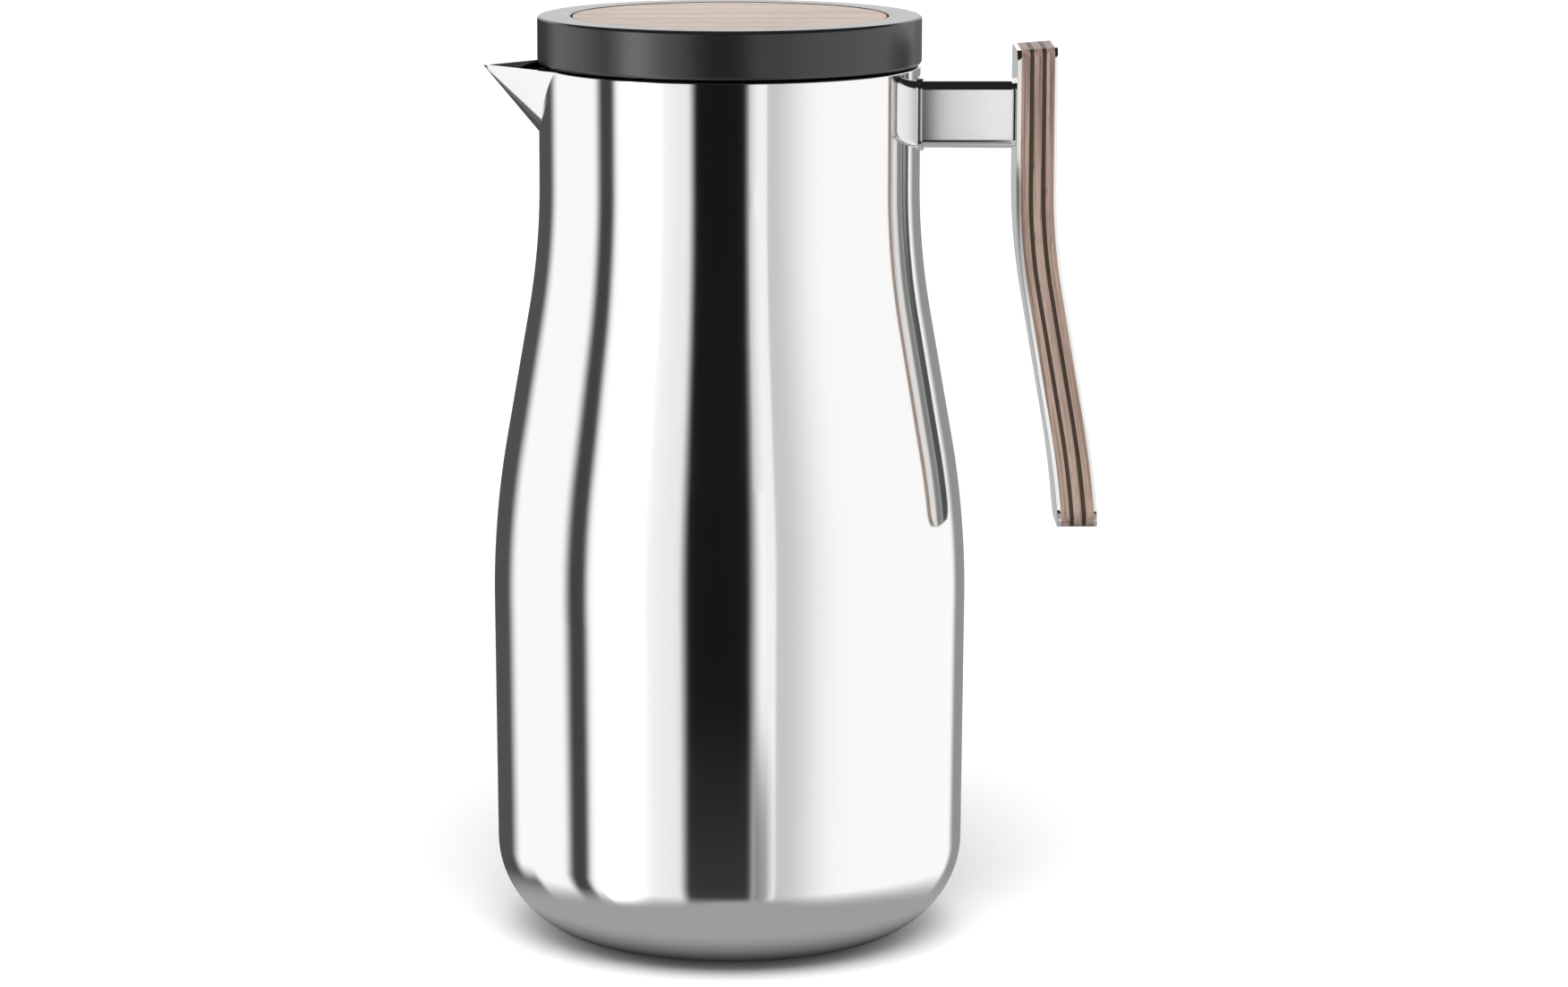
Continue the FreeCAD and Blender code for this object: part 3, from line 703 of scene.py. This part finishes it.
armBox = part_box("handle_arm")
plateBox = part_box("arm_root_plate")
arm = {
    "side": (armBox[1].y - armBox[0].y) / mm,
    "middle": (armBox[0].z + armBox[1].z) / 2 / mm,
    "end": armBox[1].x / mm,
    "step": 1.0,
    "stepInset": 0.5,
    "round": 2.4,
    "edge": 0.15,
    "saddle": neckRadius + 1.0,
    "plateSide": (plateBox[1].y - plateBox[0].y) / mm,
    "plateRound": 2.8,
    "plateEdge": 0.12,
    "plateGap": 0.02,
    "reach": 5.0,  # how far the uncut bars run past the neck's face
    "cornerSteps": 8,
}


def squareOutline(side, corner):
    half = side / 2
    low = (-half, arm["middle"] - half)
    high = (half, arm["middle"] + half)
    return roundedOutline(low, high, [corner] * 4, arm["cornerSteps"])


def makeArm():
    outline = squareOutline(arm["side"], arm["round"])
    bar = makeBar("arm", outline, neckRadius - arm["reach"], arm["end"] - arm["step"])
    pickParts(bar, "FACE", lambda face: face.normal.x > 0.9)  # the end face
    bpy.ops.mesh.inset(thickness=arm["stepInset"] * mm)
    bpy.ops.mesh.extrude_region_move(TRANSFORM_OT_translate={"value": (arm["step"] * mm, 0, 0)})
    objectMode()
    cutWith(bar, neckPlug(arm["saddle"]))
    softEdges(bar, arm["edge"])
    dress(bar, "carafe", "polished_steel", "handle_arm")


def makeRootPlate():
    outline = squareOutline(arm["plateSide"], arm["plateRound"])
    plate = makeBar("rootPlate", outline, neckRadius - arm["reach"], neckRadius + arm["reach"])
    cutWith(plate, neckPlug(arm["saddle"]), "INTERSECT")
    cutWith(plate, neckPlug(neckRadius + arm["plateGap"]))
    softEdges(plate, arm["plateEdge"])
    dress(plate, "carafe", "polished_steel", "arm_root_plate")


makeArm()
makeRootPlate()
print("arm done")


# Wood: streaks and pores along the grain that markGrain stores on each piece

wood = {
    "fineScale": (1700.0, 1700.0, 26.0),
    "broadScale": (420.0, 420.0, 7.0),
    "poreScale": (5200.0, 5200.0, 160.0),
    "fineShare": 0.55,
    "broadShare": 0.45,
    "toneSpread": 0.2,
    "poreBand": (0.62, 0.74),
    "poreTone": 0.45,
    "poreShare": 0.55,
    "roughness": 0.42,
    "poreRoughness": 0.2,
    "toneRoughness": 0.06,
    "fineBump": 0.6,
    "depth": 0.00004,
    "kinds": {
        "light_wood": {
            "name": "lightWood", "streak": 2.0, "shine": 0.2,
            "early": (0.385, 0.283, 0.23, 1.0), "late": (0.178, 0.115, 0.088, 1.0),
        },
        "dark_wood": {
            "name": "darkWood", "streak": 1.0, "shine": 0.2,
            "early": (0.06, 0.039, 0.029, 1.0), "late": (0.03, 0.019, 0.014, 1.0),
        },
        "lid_wood": {
            "name": "lidWood", "streak": 2.2, "shine": 0.5,
            "early": (0.64, 0.5, 0.415, 1.0), "late": (0.37, 0.26, 0.2, 1.0),
        },
    },
}


def makeWood(kind):
    finish = Finish(kind["name"], Specular_IOR_Level=kind["shine"])
    fine = finish.noise(finish.place(wood["fineScale"], attribute="grain"), detail=3.0, roughness=0.6)
    broad = finish.noise(finish.place(wood["broadScale"], attribute="grain"))
    pores = finish.noise(finish.place(wood["poreScale"], attribute="grain"), detail=1.0)
    spread = wood["toneSpread"] / kind["streak"]
    streaks = fine * wood["fineShare"] + broad * wood["broadShare"]
    tone = finish.between(streaks, 0.5 - spread, 0.5 + spread)
    pit = finish.between(pores, *wood["poreBand"])
    colour = finish.mix(tone, kind["early"], kind["late"])
    darker = tuple(channel * wood["poreTone"] for channel in kind["late"][:3]) + (1.0,)
    finish.feed(Base_Color=finish.mix(pit * wood["poreShare"], colour, darker))
    finish.feed(Roughness=wood["roughness"] + pit * wood["poreRoughness"] - tone * wood["toneRoughness"])
    finish.feed(Normal=finish.bump(fine * wood["fineBump"] - pit, wood["depth"]))
    return finish


# Where each vertex lies in the wood: two places across the grain, one along it
def markGrain(piece, placeInWood):
    layer = piece.data.attributes.new("grain", "FLOAT_VECTOR", "POINT")
    for vertex, item in zip(piece.data.vertices, layer.data):
        item.vector = placeInWood(vertex.co)


for slot, kind in wood["kinds"].items():
    finishes[slot] = makeWood(kind)


# Grip: bent layers that run parallel to the shell

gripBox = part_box("handle_inner_plate")
grip = {
    "gap": 25.0,
    "half": gripBox[1].y / mm,
    "low": gripBox[0].z / mm,
    "high": gripBox[1].z / mm,
    "topRound": 2.5,
    "footRound": 5.5,
    "cornerSteps": 10,
    "topTilt": 0.08,
    "tiltPivot": 8.0,
    "blockNear": 60.0,
    "blockFar": 130.0,
    "bendSteps": 26,
    "bendEnd": 2.0,
    "overTop": 5.0,
    "overSide": 1.0,
    "plateEdge": 0.25,
    "plyEdge": 0.1,
    "layers": {
        "innerPlate": ("handle_inner_plate", "polished_steel", 0.0, 1.2),
        "ply1": ("grip_ply_1", "light_wood", 1.2, 3.36),
        "ply2": ("grip_ply_2", "dark_wood", 3.36, 4.46),
        "ply3": ("grip_ply_3", "light_wood", 4.46, 6.62),
        "ply4": ("grip_ply_4", "dark_wood", 6.62, 7.72),
        "ply5": ("grip_ply_5", "light_wood", 7.72, 9.88),
        "outerPlate": ("handle_outer_plate", "polished_steel", 9.88, 10.68),
    },
}


# The bent line at a distance outside the shell, from above the grip's top to below its foot
def bendLine(distance):
    neckX = neckRadius + distance
    lean, steps = vessel["lean"], grip["bendSteps"]
    line = [(neckX, grip["high"] + grip["overTop"]), (neckX, (grip["high"] + neckFoot) / 2)]
    line += arcPoints(flareCentre, vessel["flareCurve"] - distance, 180, 180 + lean, steps)
    line += arcPoints(bellyCentre, vessel["bellyCurve"] + distance, lean, grip["bendEnd"], steps)
    return line


# Where a place lies in the bent stack: depth through the plies and length along the bend
def bendPlace(x, z):
    if z >= neckFoot:
        return x - neckRadius, neckFoot - z
    flareX, flareZ = flareCentre
    flareReach = vessel["flareCurve"] - grip["gap"]
    flareAngle = math.atan2(flareZ - z, flareX - x)
    if flareAngle <= leanAngle:
        return vessel["flareCurve"] - math.hypot(flareX - x, flareZ - z), flareAngle * flareReach
    bellyX, bellyZ = bellyCentre
    bellyReach = vessel["bellyCurve"] + grip["gap"]
    bellyAngle = math.atan2(z - bellyZ, x - bellyX)
    slope = vessel["slopeRise"] / math.cos(leanAngle)
    along = leanAngle * flareReach + slope + (leanAngle - bellyAngle) * bellyReach
    return math.hypot(x - bellyX, z - bellyZ) - vessel["bellyCurve"], along


def bentGrain(place):
    depth, along = bendPlace(place.x / mm, place.z / mm)
    return depth * mm, place.y, along * mm


# The grip's outline as seen from its outer side, with a top end that rises outwards
def makeGripOutline():
    radii = [grip["footRound"], grip["topRound"], grip["topRound"], grip["footRound"]]
    low = (-grip["half"], grip["low"])
    high = (grip["half"], grip["high"])
    outline = roundedOutline(low, high, radii, grip["cornerSteps"])
    block = makeBar("gripOutline", outline, grip["blockNear"], grip["blockFar"])
    pivot = neckRadius + grip["gap"] + grip["tiltPivot"]
    middle = (grip["low"] + grip["high"]) / 2 * mm
    for end in (grip["blockNear"], grip["blockFar"]):
        pickParts(block, "VERT", lambda vertex: vertex.co.z > middle and abs(vertex.co.x - end * mm) < mm)
        bpy.ops.transform.translate(value=(0, 0, (end - pivot) * grip["topTilt"] * mm))
        objectMode()
    return block


def makeLayer(name, node, slot, inner, outer):
    outline = bendLine(grip["gap"] + inner) + bendLine(grip["gap"] + outer)[::-1]
    width = grip["half"] + grip["overSide"]
    places = [(x * mm, -width * mm, z * mm) for x, z in outline]
    layer = drawOut(name, places, (0, 2 * width * mm, 0))
    cutWith(layer, makeGripOutline(), "INTERSECT")
    softEdges(layer, grip["plateEdge"] if slot == "polished_steel" else grip["plyEdge"])
    markGrain(layer, bentGrain)
    dress(layer, "carafe", slot, node)


for name, layer in grip["layers"].items():
    makeLayer(name, *layer)
print("grip done")


# Lid: matt cover with a round wood inlay

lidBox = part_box("lid_cover")
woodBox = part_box("lid_wood_disc")
lid = {
    "radius": lidBox[1].x / mm,
    "low": lidBox[0].z / mm,
    "high": lidBox[1].z / mm,
    "topRound": 1.0,
    "footRound": 1.2,
    "roundSteps": 8,
    "rimWidth": 8.8,
    "lipRound": 0.4,
    "lipSteps": 4,
    "recessFloor": woodBox[0].z / mm,
    "deck": 240.4,
    "skirtBore": 48.5,
    "skirtBevel": 0.3,
    "woodRadius": woodBox[1].x / mm,
    "woodTop": woodBox[1].z / mm,
    "woodEdge": 0.4,
    "woodSteps": 5,
    "segments": 192,
}
lidLook = {
    "dark": 0.004,
    "light": 0.012,
    "shine": 0.75,
    "roughness": 0.25,
    "grainScale": 5200.0,
    "grainRoughness": 0.06,
    "grainDepth": 0.000006,
    "cloudScale": 90.0,
    "cloudRoughness": 0.04,
    "wornStart": 0.5,  # below the top, where hands polish the edge
    "wornEnd": 0.02,
    "wornGloss": 0.12,
}


def makeLidPlastic():
    plastic = Finish("lidPlastic", Specular_IOR_Level=lidLook["shine"])
    where = plastic.place()
    grain = plastic.noise(where, lidLook["grainScale"], roughness=0.6)
    cloud = plastic.noise(where, lidLook["cloudScale"])
    wornStart = (lid["high"] - lidLook["wornStart"]) * mm
    wornEnd = (lid["high"] - lidLook["wornEnd"]) * mm
    worn = plastic.between(plastic.axis(where, "Z"), wornStart, wornEnd)
    matt = lidLook["roughness"] + cloud * lidLook["cloudRoughness"] + grain * lidLook["grainRoughness"]
    plastic.feed(Roughness=matt - worn * lidLook["wornGloss"])
    plastic.feed(Normal=plastic.bump(grain, lidLook["grainDepth"]))
    plastic.feed(Base_Color=plastic.mix(grain, grey(lidLook["dark"]), grey(lidLook["light"])))
    return plastic


def makeLidCover():
    radius, low, high = lid["radius"], lid["low"], lid["high"]
    top, foot, lip, steps = lid["topRound"], lid["footRound"], lid["lipRound"], lid["roundSteps"]
    bore, bevel, deck = lid["skirtBore"], lid["skirtBevel"], lid["deck"]
    recess = radius - lid["rimWidth"]
    profile = arcPoints((radius - foot, low + foot), foot, -90, 0, steps)
    profile += arcPoints((radius - top, high - top), top, 0, 90, steps)
    profile += arcPoints((recess + lip, high - lip), lip, 90, 180, lid["lipSteps"])
    profile += [(recess, lid["recessFloor"]), (0.0, lid["recessFloor"]), (0.0, deck)]
    profile += [(bore, deck), (bore, low + bevel), (bore + bevel, low)]
    cover = spinProfile("lidCover", profile, lid["segments"])
    dress(cover, "lid", "lid_plastic", "lid_cover")


def makeLidDisc():
    radius, top, floor, edge = lid["woodRadius"], lid["woodTop"], lid["recessFloor"], lid["woodEdge"]
    profile = [(0.0, top), (0.0, floor), (radius, floor)]
    profile += arcPoints((radius - edge, top - edge), edge, 0, 90, lid["woodSteps"])
    disc = spinProfile("lidDisc", profile, lid["segments"])
    markGrain(disc, lambda place: (place.z, place.y, place.x))  # grain runs along x
    dress(disc, "lid", "lid_wood", "lid_wood_disc")


finishes["lid_plastic"] = makeLidPlastic()
makeLidCover()
makeLidDisc()
print("lid done")


# Inner finishes: each has two tones, a range of roughness and some relief

def layOn(finish, look, tone, gloss, relief):
    finish.feed(Base_Color=finish.mix(tone, *look["tones"]))
    finish.feed(Roughness=look["roughness"] + gloss * look["roughRange"])
    finish.feed(Normal=finish.bump(relief, look["depth"]))
    return finish


# Moulded plastic and rubber: fine grain with faint clouds

moulded = {
    "grainShare": 0.6,
    "cloudShare": 0.4,
    "cloudScale": 70.0,
    "kinds": {
        "inner_plastic": {
            "name": "innerPlastic",
            "tones": ((0.012, 0.012, 0.013, 1.0), (0.028, 0.028, 0.03, 1.0)),
            "roughness": 0.3, "roughRange": 0.08, "grainScale": 3000.0, "depth": 0.00001,
        },
        "black_rubber": {
            "name": "blackRubber",
            "tones": (grey(0.012), grey(0.03)),
            "roughness": 0.62, "roughRange": 0.08, "grainScale": 2200.0, "depth": 0.00005,
        },
        "silicone": {
            "name": "silicone",
            "tones": ((0.6, 0.6, 0.57, 1.0), (0.74, 0.74, 0.71, 1.0)),
            "roughness": 0.36, "roughRange": 0.08, "grainScale": 900.0, "depth": 0.00001,
        },
    },
}


def makeMoulded(kind):
    finish = Finish(kind["name"])
    where = finish.place()
    grain = finish.noise(where, kind["grainScale"], roughness=0.6)
    cloud = finish.noise(where, moulded["cloudScale"])
    tone = grain * moulded["grainShare"] + cloud * moulded["cloudShare"]
    return layOn(finish, kind, tone, cloud, grain)


# Silvered glass: slow waves under a clear coat

glass = {
    "tones": ((0.8, 0.83, 0.82, 1.0), (0.9, 0.92, 0.91, 1.0)),
    "coatRoughness": 0.02,
    "roughness": 0.03,
    "roughRange": 0.04,
    "hazeScale": 150.0,
    "waveScale": 22.0,
    "depth": 0.0004,
}


def makeSilveredGlass():
    finish = Finish("silveredGlass", Metallic=1.0, Coat_Weight=1.0, Coat_Roughness=glass["coatRoughness"])
    where = finish.place()
    wave = finish.noise(where, glass["waveScale"], detail=1.0)
    haze = finish.noise(where, glass["hazeScale"], detail=3.0)
    return layOn(finish, glass, haze, haze, wave)


# Screw steel: drawn wire with faint stains and fine lines along x

drawnSteel = {
    "tones": ((0.5, 0.5, 0.49, 1.0), (0.66, 0.66, 0.65, 1.0)),
    "roughness": 0.22,
    "roughRange": 0.16,
    "stainScale": 300.0,
    "lineScale": (400.0, 9000.0, 9000.0),
    "depth": 0.000004,
}


def makeScrewSteel():
    finish = Finish("screwSteel", Metallic=1.0)
    lines = finish.noise(finish.place(drawnSteel["lineScale"]))
    stain = finish.noise(finish.place(), drawnSteel["stainScale"])
    return layOn(finish, drawnSteel, stain, lines, lines)


# Felt: short fibres that run upright

felt = {
    "tones": ((0.42, 0.4, 0.37, 1.0), (0.68, 0.66, 0.62, 1.0)),
    "roughness": 0.85,
    "roughRange": 0.12,
    "stretch": (1.0, 1.0, 0.35),
    "fibreScale": 3200.0,
    "depth": 0.0003,
}


def makeFelt():
    finish = Finish("spacerFelt")
    fibre = finish.noise(finish.place(felt["stretch"]), felt["fibreScale"], detail=4.0, roughness=0.7)
    return layOn(finish, felt, fibre, fibre, fibre)


# Foam: small round cells

foam = {
    "tones": ((0.9, 0.9, 0.88, 1.0), (0.7, 0.7, 0.68, 1.0)),
    "roughness": 0.8,
    "roughRange": 0.15,
    "cellScale": 900.0,
    "cellBand": (0.1, 0.7),
    "depth": 0.0002,
}


def makeFoam():
    finish = Finish("foam")
    values = {"Vector": finish.place(), "Scale": foam["cellScale"]}
    cells = finish.add("ShaderNodeTexVoronoi", values=values)
    return layOn(finish, foam, finish.between(cells, *foam["cellBand"]), cells, cells)


for slot, kind in moulded["kinds"].items():
    finishes[slot] = makeMoulded(kind)
finishes["silvered_glass"] = makeSilveredGlass()
finishes["screw_steel"] = makeScrewSteel()
finishes["spacer_felt"] = makeFelt()
finishes["foam"] = makeFoam()


# Foot pad with anti-slip rings

pad = {
    "grooves": (9.0, 15.0, 21.0, 27.0),
    "grooveWidth": 1.6,
    "grooveDepth": 0.6,
    "grooveSlope": 0.2,
    "bevel": 0.4,
    "segments": 128,
}


def makeBasePad():
    low, high, radius = spanOf("base_pad")
    half, slope, bevel = pad["grooveWidth"] / 2, pad["grooveSlope"], pad["bevel"]
    depth = low + pad["grooveDepth"]
    profile = [(0.0, high), (0.0, low)]
    for groove in pad["grooves"]:
        start, end = groove - half, groove + half
        profile += [(start, low), (start + slope, depth), (end - slope, depth), (end, low)]
    profile += [(radius - bevel, low), (radius, low + bevel), (radius, high)]
    piece = spinProfile("basePad", profile, pad["segments"])
    dress(piece, "carafe", "black_rubber", "base_pad")


# Inner wall of the glass flask, with its lip

flask = {
    "glass": 1.6,
    "flat": 20.0,
    "bend": 42.4,
    "bendSteps": 20,
    "lipRound": 0.7,
    "lipSteps": 6,
    "lipDepth": 2.0,
    "segments": 144,
}


def makeFlask():
    low, high, lipRadius = spanOf("flask_inner_wall")
    flat, lip = flask["flat"], flask["lipRound"]
    bendSteps, lipSteps = flask["bendSteps"], flask["lipSteps"]
    outer = flat + flask["bend"] - low
    inner = outer - flask["glass"]
    lipFoot = high - flask["lipDepth"]
    middle = (flat, flask["bend"])
    profile = [(0.0, low + flask["glass"])] + arcPoints(middle, inner - flat, -90, 0, bendSteps)
    profile += arcPoints((inner + lip, high - lip), lip, 180, 90, lipSteps)
    profile += arcPoints((lipRadius - lip, high - lip), lip, 90, 0, lipSteps)
    profile += [(lipRadius, lipFoot), (outer, lipFoot)]
    profile += arcPoints(middle, outer - flat, 0, -90, bendSteps) + [(0.0, low)]
    wall = spinProfile("flaskWall", profile, flask["segments"])
    dress(wall, "carafe", "silvered_glass", "flask_inner_wall")


# Screws of the arm: one with a hexagon socket, copied to the second height

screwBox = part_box("arm_screws")
screws = {
    "pitch": 6.4,
    "middle": (screwBox[0].z + screwBox[1].z) / 2 / mm,
    "top": screwBox[0].x / mm,
    "end": screwBox[1].x / mm,
    "headRadius": 2.9,
    "headThick": 1.8,
    "headEdge": 0.25,
    "headSides": 32,
    "shankRadius": 1.75,
    "shankSides": 24,
    "socketRadius": 1.5,
    "socketDepth": 1.1,
    "socketSides": 6,
    "cutPast": 1.0,
}
screwLow = screws["middle"] - screws["pitch"] / 2
screwHigh = screws["middle"] + screws["pitch"] / 2
screwSeat = screws["top"] + screws["headThick"]


def makeRod(name, radius, sides, height, start, end):
    outline = arcPoints((0.0, height), radius, 0, 360, sides)[:-1]
    return makeBar(name, outline, start, end)


def makeArmScrews():
    top = screws["top"]
    screw = makeRod("armScrews", screws["headRadius"], screws["headSides"], screwLow, top, screwSeat)
    socket = makeRod("socketCutter", screws["socketRadius"], screws["socketSides"],
                     screwLow, top - screws["cutPast"], top + screws["socketDepth"])
    cutWith(screw, socket)
    softEdges(screw, screws["headEdge"])
    shank = makeRod("shank", screws["shankRadius"], screws["shankSides"], screwLow, screwSeat, screws["end"])
    pickOnly(screw)
    shank.select_set(True)
    bpy.ops.object.join()
    bpy.ops.object.duplicate()
    second = bpy.context.object
    editAll()
    bpy.ops.transform.translate(value=(0, 0, (screwHigh - screwLow) * mm))
    objectMode()
    pickOnly(screw)
    second.select_set(True)
    bpy.ops.object.join()
    dress(screw, "carafe", "screw_steel", "arm_screws")


# Neck collar with the pouring window and the two screw seats

collar = {
    "bore": 41.5,
    "boreBevel": 0.9,
    "topBevel": 0.4,
    "ledge": 38.4,
    "ledgeThick": 2.0,
    "windowHalf": 12.0,
    "windowCorners": (1.5, 0.2, 0.2, 1.5),
    "windowSteps": 5,
    "windowNear": -60.0,
    "windowFar": -35.0,
    "sillRise": 4.6,
    "cutPast": 5.0,
    "seatStart": 35.0,
    "seatGap": 0.1,
    "edge": 0.2,
    "segments": 144,
}


def cutWindow(piece, ring, sill, top):
    half = ring["windowHalf"]
    outline = roundedOutline((-half, sill), (half, top), ring["windowCorners"], ring["windowSteps"])
    cutWith(piece, makeBar("windowCutter", outline, ring["windowNear"], ring["windowFar"]))


def makeCollar():
    low, high, radius = spanOf("neck_collar")
    bore, bevel, top, ledge = collar["bore"], collar["boreBevel"], collar["topBevel"], collar["ledge"]
    shelf = low + collar["ledgeThick"]
    profile = [(ledge, low), (radius, low), (radius, high - top), (radius - top, high)]
    profile += [(bore + bevel, high), (bore, high - bevel), (bore, shelf), (ledge, shelf)]
    piece = spinProfile("neckCollar", profile, collar["segments"])
    cutWindow(piece, collar, low + collar["sillRise"], high + collar["cutPast"])
    seatRadius = screws["headRadius"] + collar["seatGap"]
    for height in (screwLow, screwHigh):
        seat = makeRod("seatCutter", seatRadius, screws["headSides"], height, collar["seatStart"], screwSeat)
        cutWith(piece, seat)
    softEdges(piece, collar["edge"])
    dress(piece, "carafe", "inner_plastic", "neck_collar")


# Stopper insert: a cup with the valve seat, the pouring window and two guide ribs

insert = {
    "bore": 35.5,
    "waist": 38.0,
    "waistTop": 217.5,
    "waistBevel": 1.2,
    "seatThick": 3.0,
    "seatBore": 27.0,
    "seatBevel": 0.6,
    "windowHalf": 10.0,
    "windowSill": 218.6,
    "windowTop": 231.0,
    "windowCorners": (1.5, 1.5, 1.5, 1.5),
    "windowSteps": 5,
    "windowNear": -50.0,
    "windowFar": -30.0,
    "ribHalf": 2.0,
    "ribFace": 31.2,
    "ribBack": 36.7,
    "ribTop": 222.0,
    "ribSlope": 1.5,
    "ribSink": 0.2,
    "edge": 0.2,
    "segments": 144,
}


def makeInsert():
    low, high, radius = spanOf("stopper_insert")
    seat, seatBore, seatBevel = low + insert["seatThick"], insert["seatBore"], insert["seatBevel"]
    waist, waistTop, bevel = insert["waist"], insert["waistTop"], insert["waistBevel"]
    bore = insert["bore"]
    profile = [(seatBore, low + seatBevel), (seatBore + seatBevel, low), (waist - bevel, low)]
    profile += [(waist, low + bevel), (waist, waistTop), (radius, waistTop), (radius, high)]
    profile += [(bore, high), (bore, seat), (seatBore, seat)]
    cup = spinProfile("stopperInsert", profile, insert["segments"])
    cutWindow(cup, insert, insert["windowSill"], insert["windowTop"])
    ribFoot, ribTop = seat - insert["ribSink"], insert["ribTop"]
    for side in (-1, 1):
        face, back = side * insert["ribFace"], side * insert["ribBack"]
        outline = [(face, ribFoot), (back, ribFoot), (back, ribTop), (face, ribTop - insert["ribSlope"])]
        cutWith(cup, makeBar("rib", outline, -insert["ribHalf"], insert["ribHalf"]), "UNION")
    softEdges(cup, insert["edge"])
    dress(cup, "stopper", "inner_plastic", "stopper_insert")


# Seals: rings with round corners

seals = {"corner": 0.55, "cornerSteps": 4, "plugBore": 36.0, "segments": 144}


def makeSeal(name, inner, body, node):
    low, high, radius = spanOf(node)
    outline = roundedOutline((inner, low), (radius, high), [seals["corner"]] * 4, seals["cornerSteps"])
    dress(spinProfile(name, outline, seals["segments"]), body, "silicone", node)


# Valve disc, with a dished face towards the drink and two notches for the guide ribs

valve = {
    "boss": 28.0,
    "bossBevel": 0.4,
    "foot": 208.4,
    "top": 210.4,
    "dishDepth": 0.35,
    "dishFlat": 22.0,
    "dishEdge": 23.0,
    "hub": 10.5,
    "hubBore": 7.8,
    "hubFloor": 211.4,
    "notchHalf": 2.3,
    "notchFloor": 30.9,
    "notchEnd": 40.0,
    "notchLow": 205.0,
    "notchHigh": 215.0,
    "edge": 0.15,
    "segments": 128,
}


def makeValve():
    low, high, radius = spanOf("valve_disc")
    boss, bevel, foot, top = valve["boss"], valve["bossBevel"], valve["foot"], valve["top"]
    hub, hubBore, hubFloor = valve["hub"], valve["hubBore"], valve["hubFloor"]
    dish = low + valve["dishDepth"]
    profile = [(0.0, dish), (valve["dishFlat"], dish), (valve["dishEdge"], low), (boss - bevel, low)]
    profile += [(boss, low + bevel), (boss, foot), (radius, foot), (radius, top)]
    profile += [(hub, top), (hub, high), (hubBore, high), (hubBore, hubFloor), (0.0, hubFloor)]
    disc = spinProfile("valveDisc", profile, valve["segments"])
    notchLow, notchHigh = valve["notchLow"], valve["notchHigh"]
    for side in (-1, 1):
        floor, end = side * valve["notchFloor"], side * valve["notchEnd"]
        outline = [(floor, notchLow), (end, notchLow), (end, notchHigh), (floor, notchHigh)]
        cutWith(disc, makeBar("notch", outline, -valve["notchHalf"], valve["notchHalf"]))
    softEdges(disc, valve["edge"])
    dress(disc, "valve", "inner_plastic", "valve_disc")


# Plug under the lid

plug = {
    "bore": 32.2,
    "wall": 35.2,
    "plate": 237.5,
    "flangeFoot": 234.6,
    "screwRadius": 2.0,
    "edge": 0.25,
    "segments": 128,
}


def makePlug():
    low, high, radius = spanOf("lid_plug")
    bore, wall, plate, flange = plug["bore"], plug["wall"], plug["plate"], plug["flangeFoot"]
    hole = plug["screwRadius"]
    profile = [(hole, plate), (bore, plate), (bore, low), (wall, low)]
    profile += [(wall, flange), (radius, flange), (radius, high), (hole, high)]
    piece = spinProfile("lidPlug", profile, plug["segments"])
    softEdges(piece, plug["edge"])
    dress(piece, "lid", "inner_plastic", "lid_plug")


# Nodes that keep their CAD shape and only get a finish
keptNodes = {
    "flask_cushion": "black_rubber",
    "flask_outer_wall": "silvered_glass",
    "flask_spacers": "spacer_felt",
    "neck_gasket": "silicone",
    "handle_plate_screws": "screw_steel",
    "valve_seal": "silicone",
    "stem_retainer": "inner_plastic",
    "lid_stem": "inner_plastic",
    "stem_screw": "screw_steel",
    "lid_insulation": "foam",
}

makeBasePad()
makeFlask()
makeCollar()
makeArmScrews()
makeInsert()
makeSeal("insertSeal", insert["waist"], "stopper", "insert_seal")
makeSeal("plugSeal", seals["plugBore"], "lid", "plug_seal")
makeValve()
makePlug()
for node, slot in keptNodes.items():
    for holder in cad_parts[node].material_slots:
        holder.material = finishes[slot].material
print("inner pieces done")
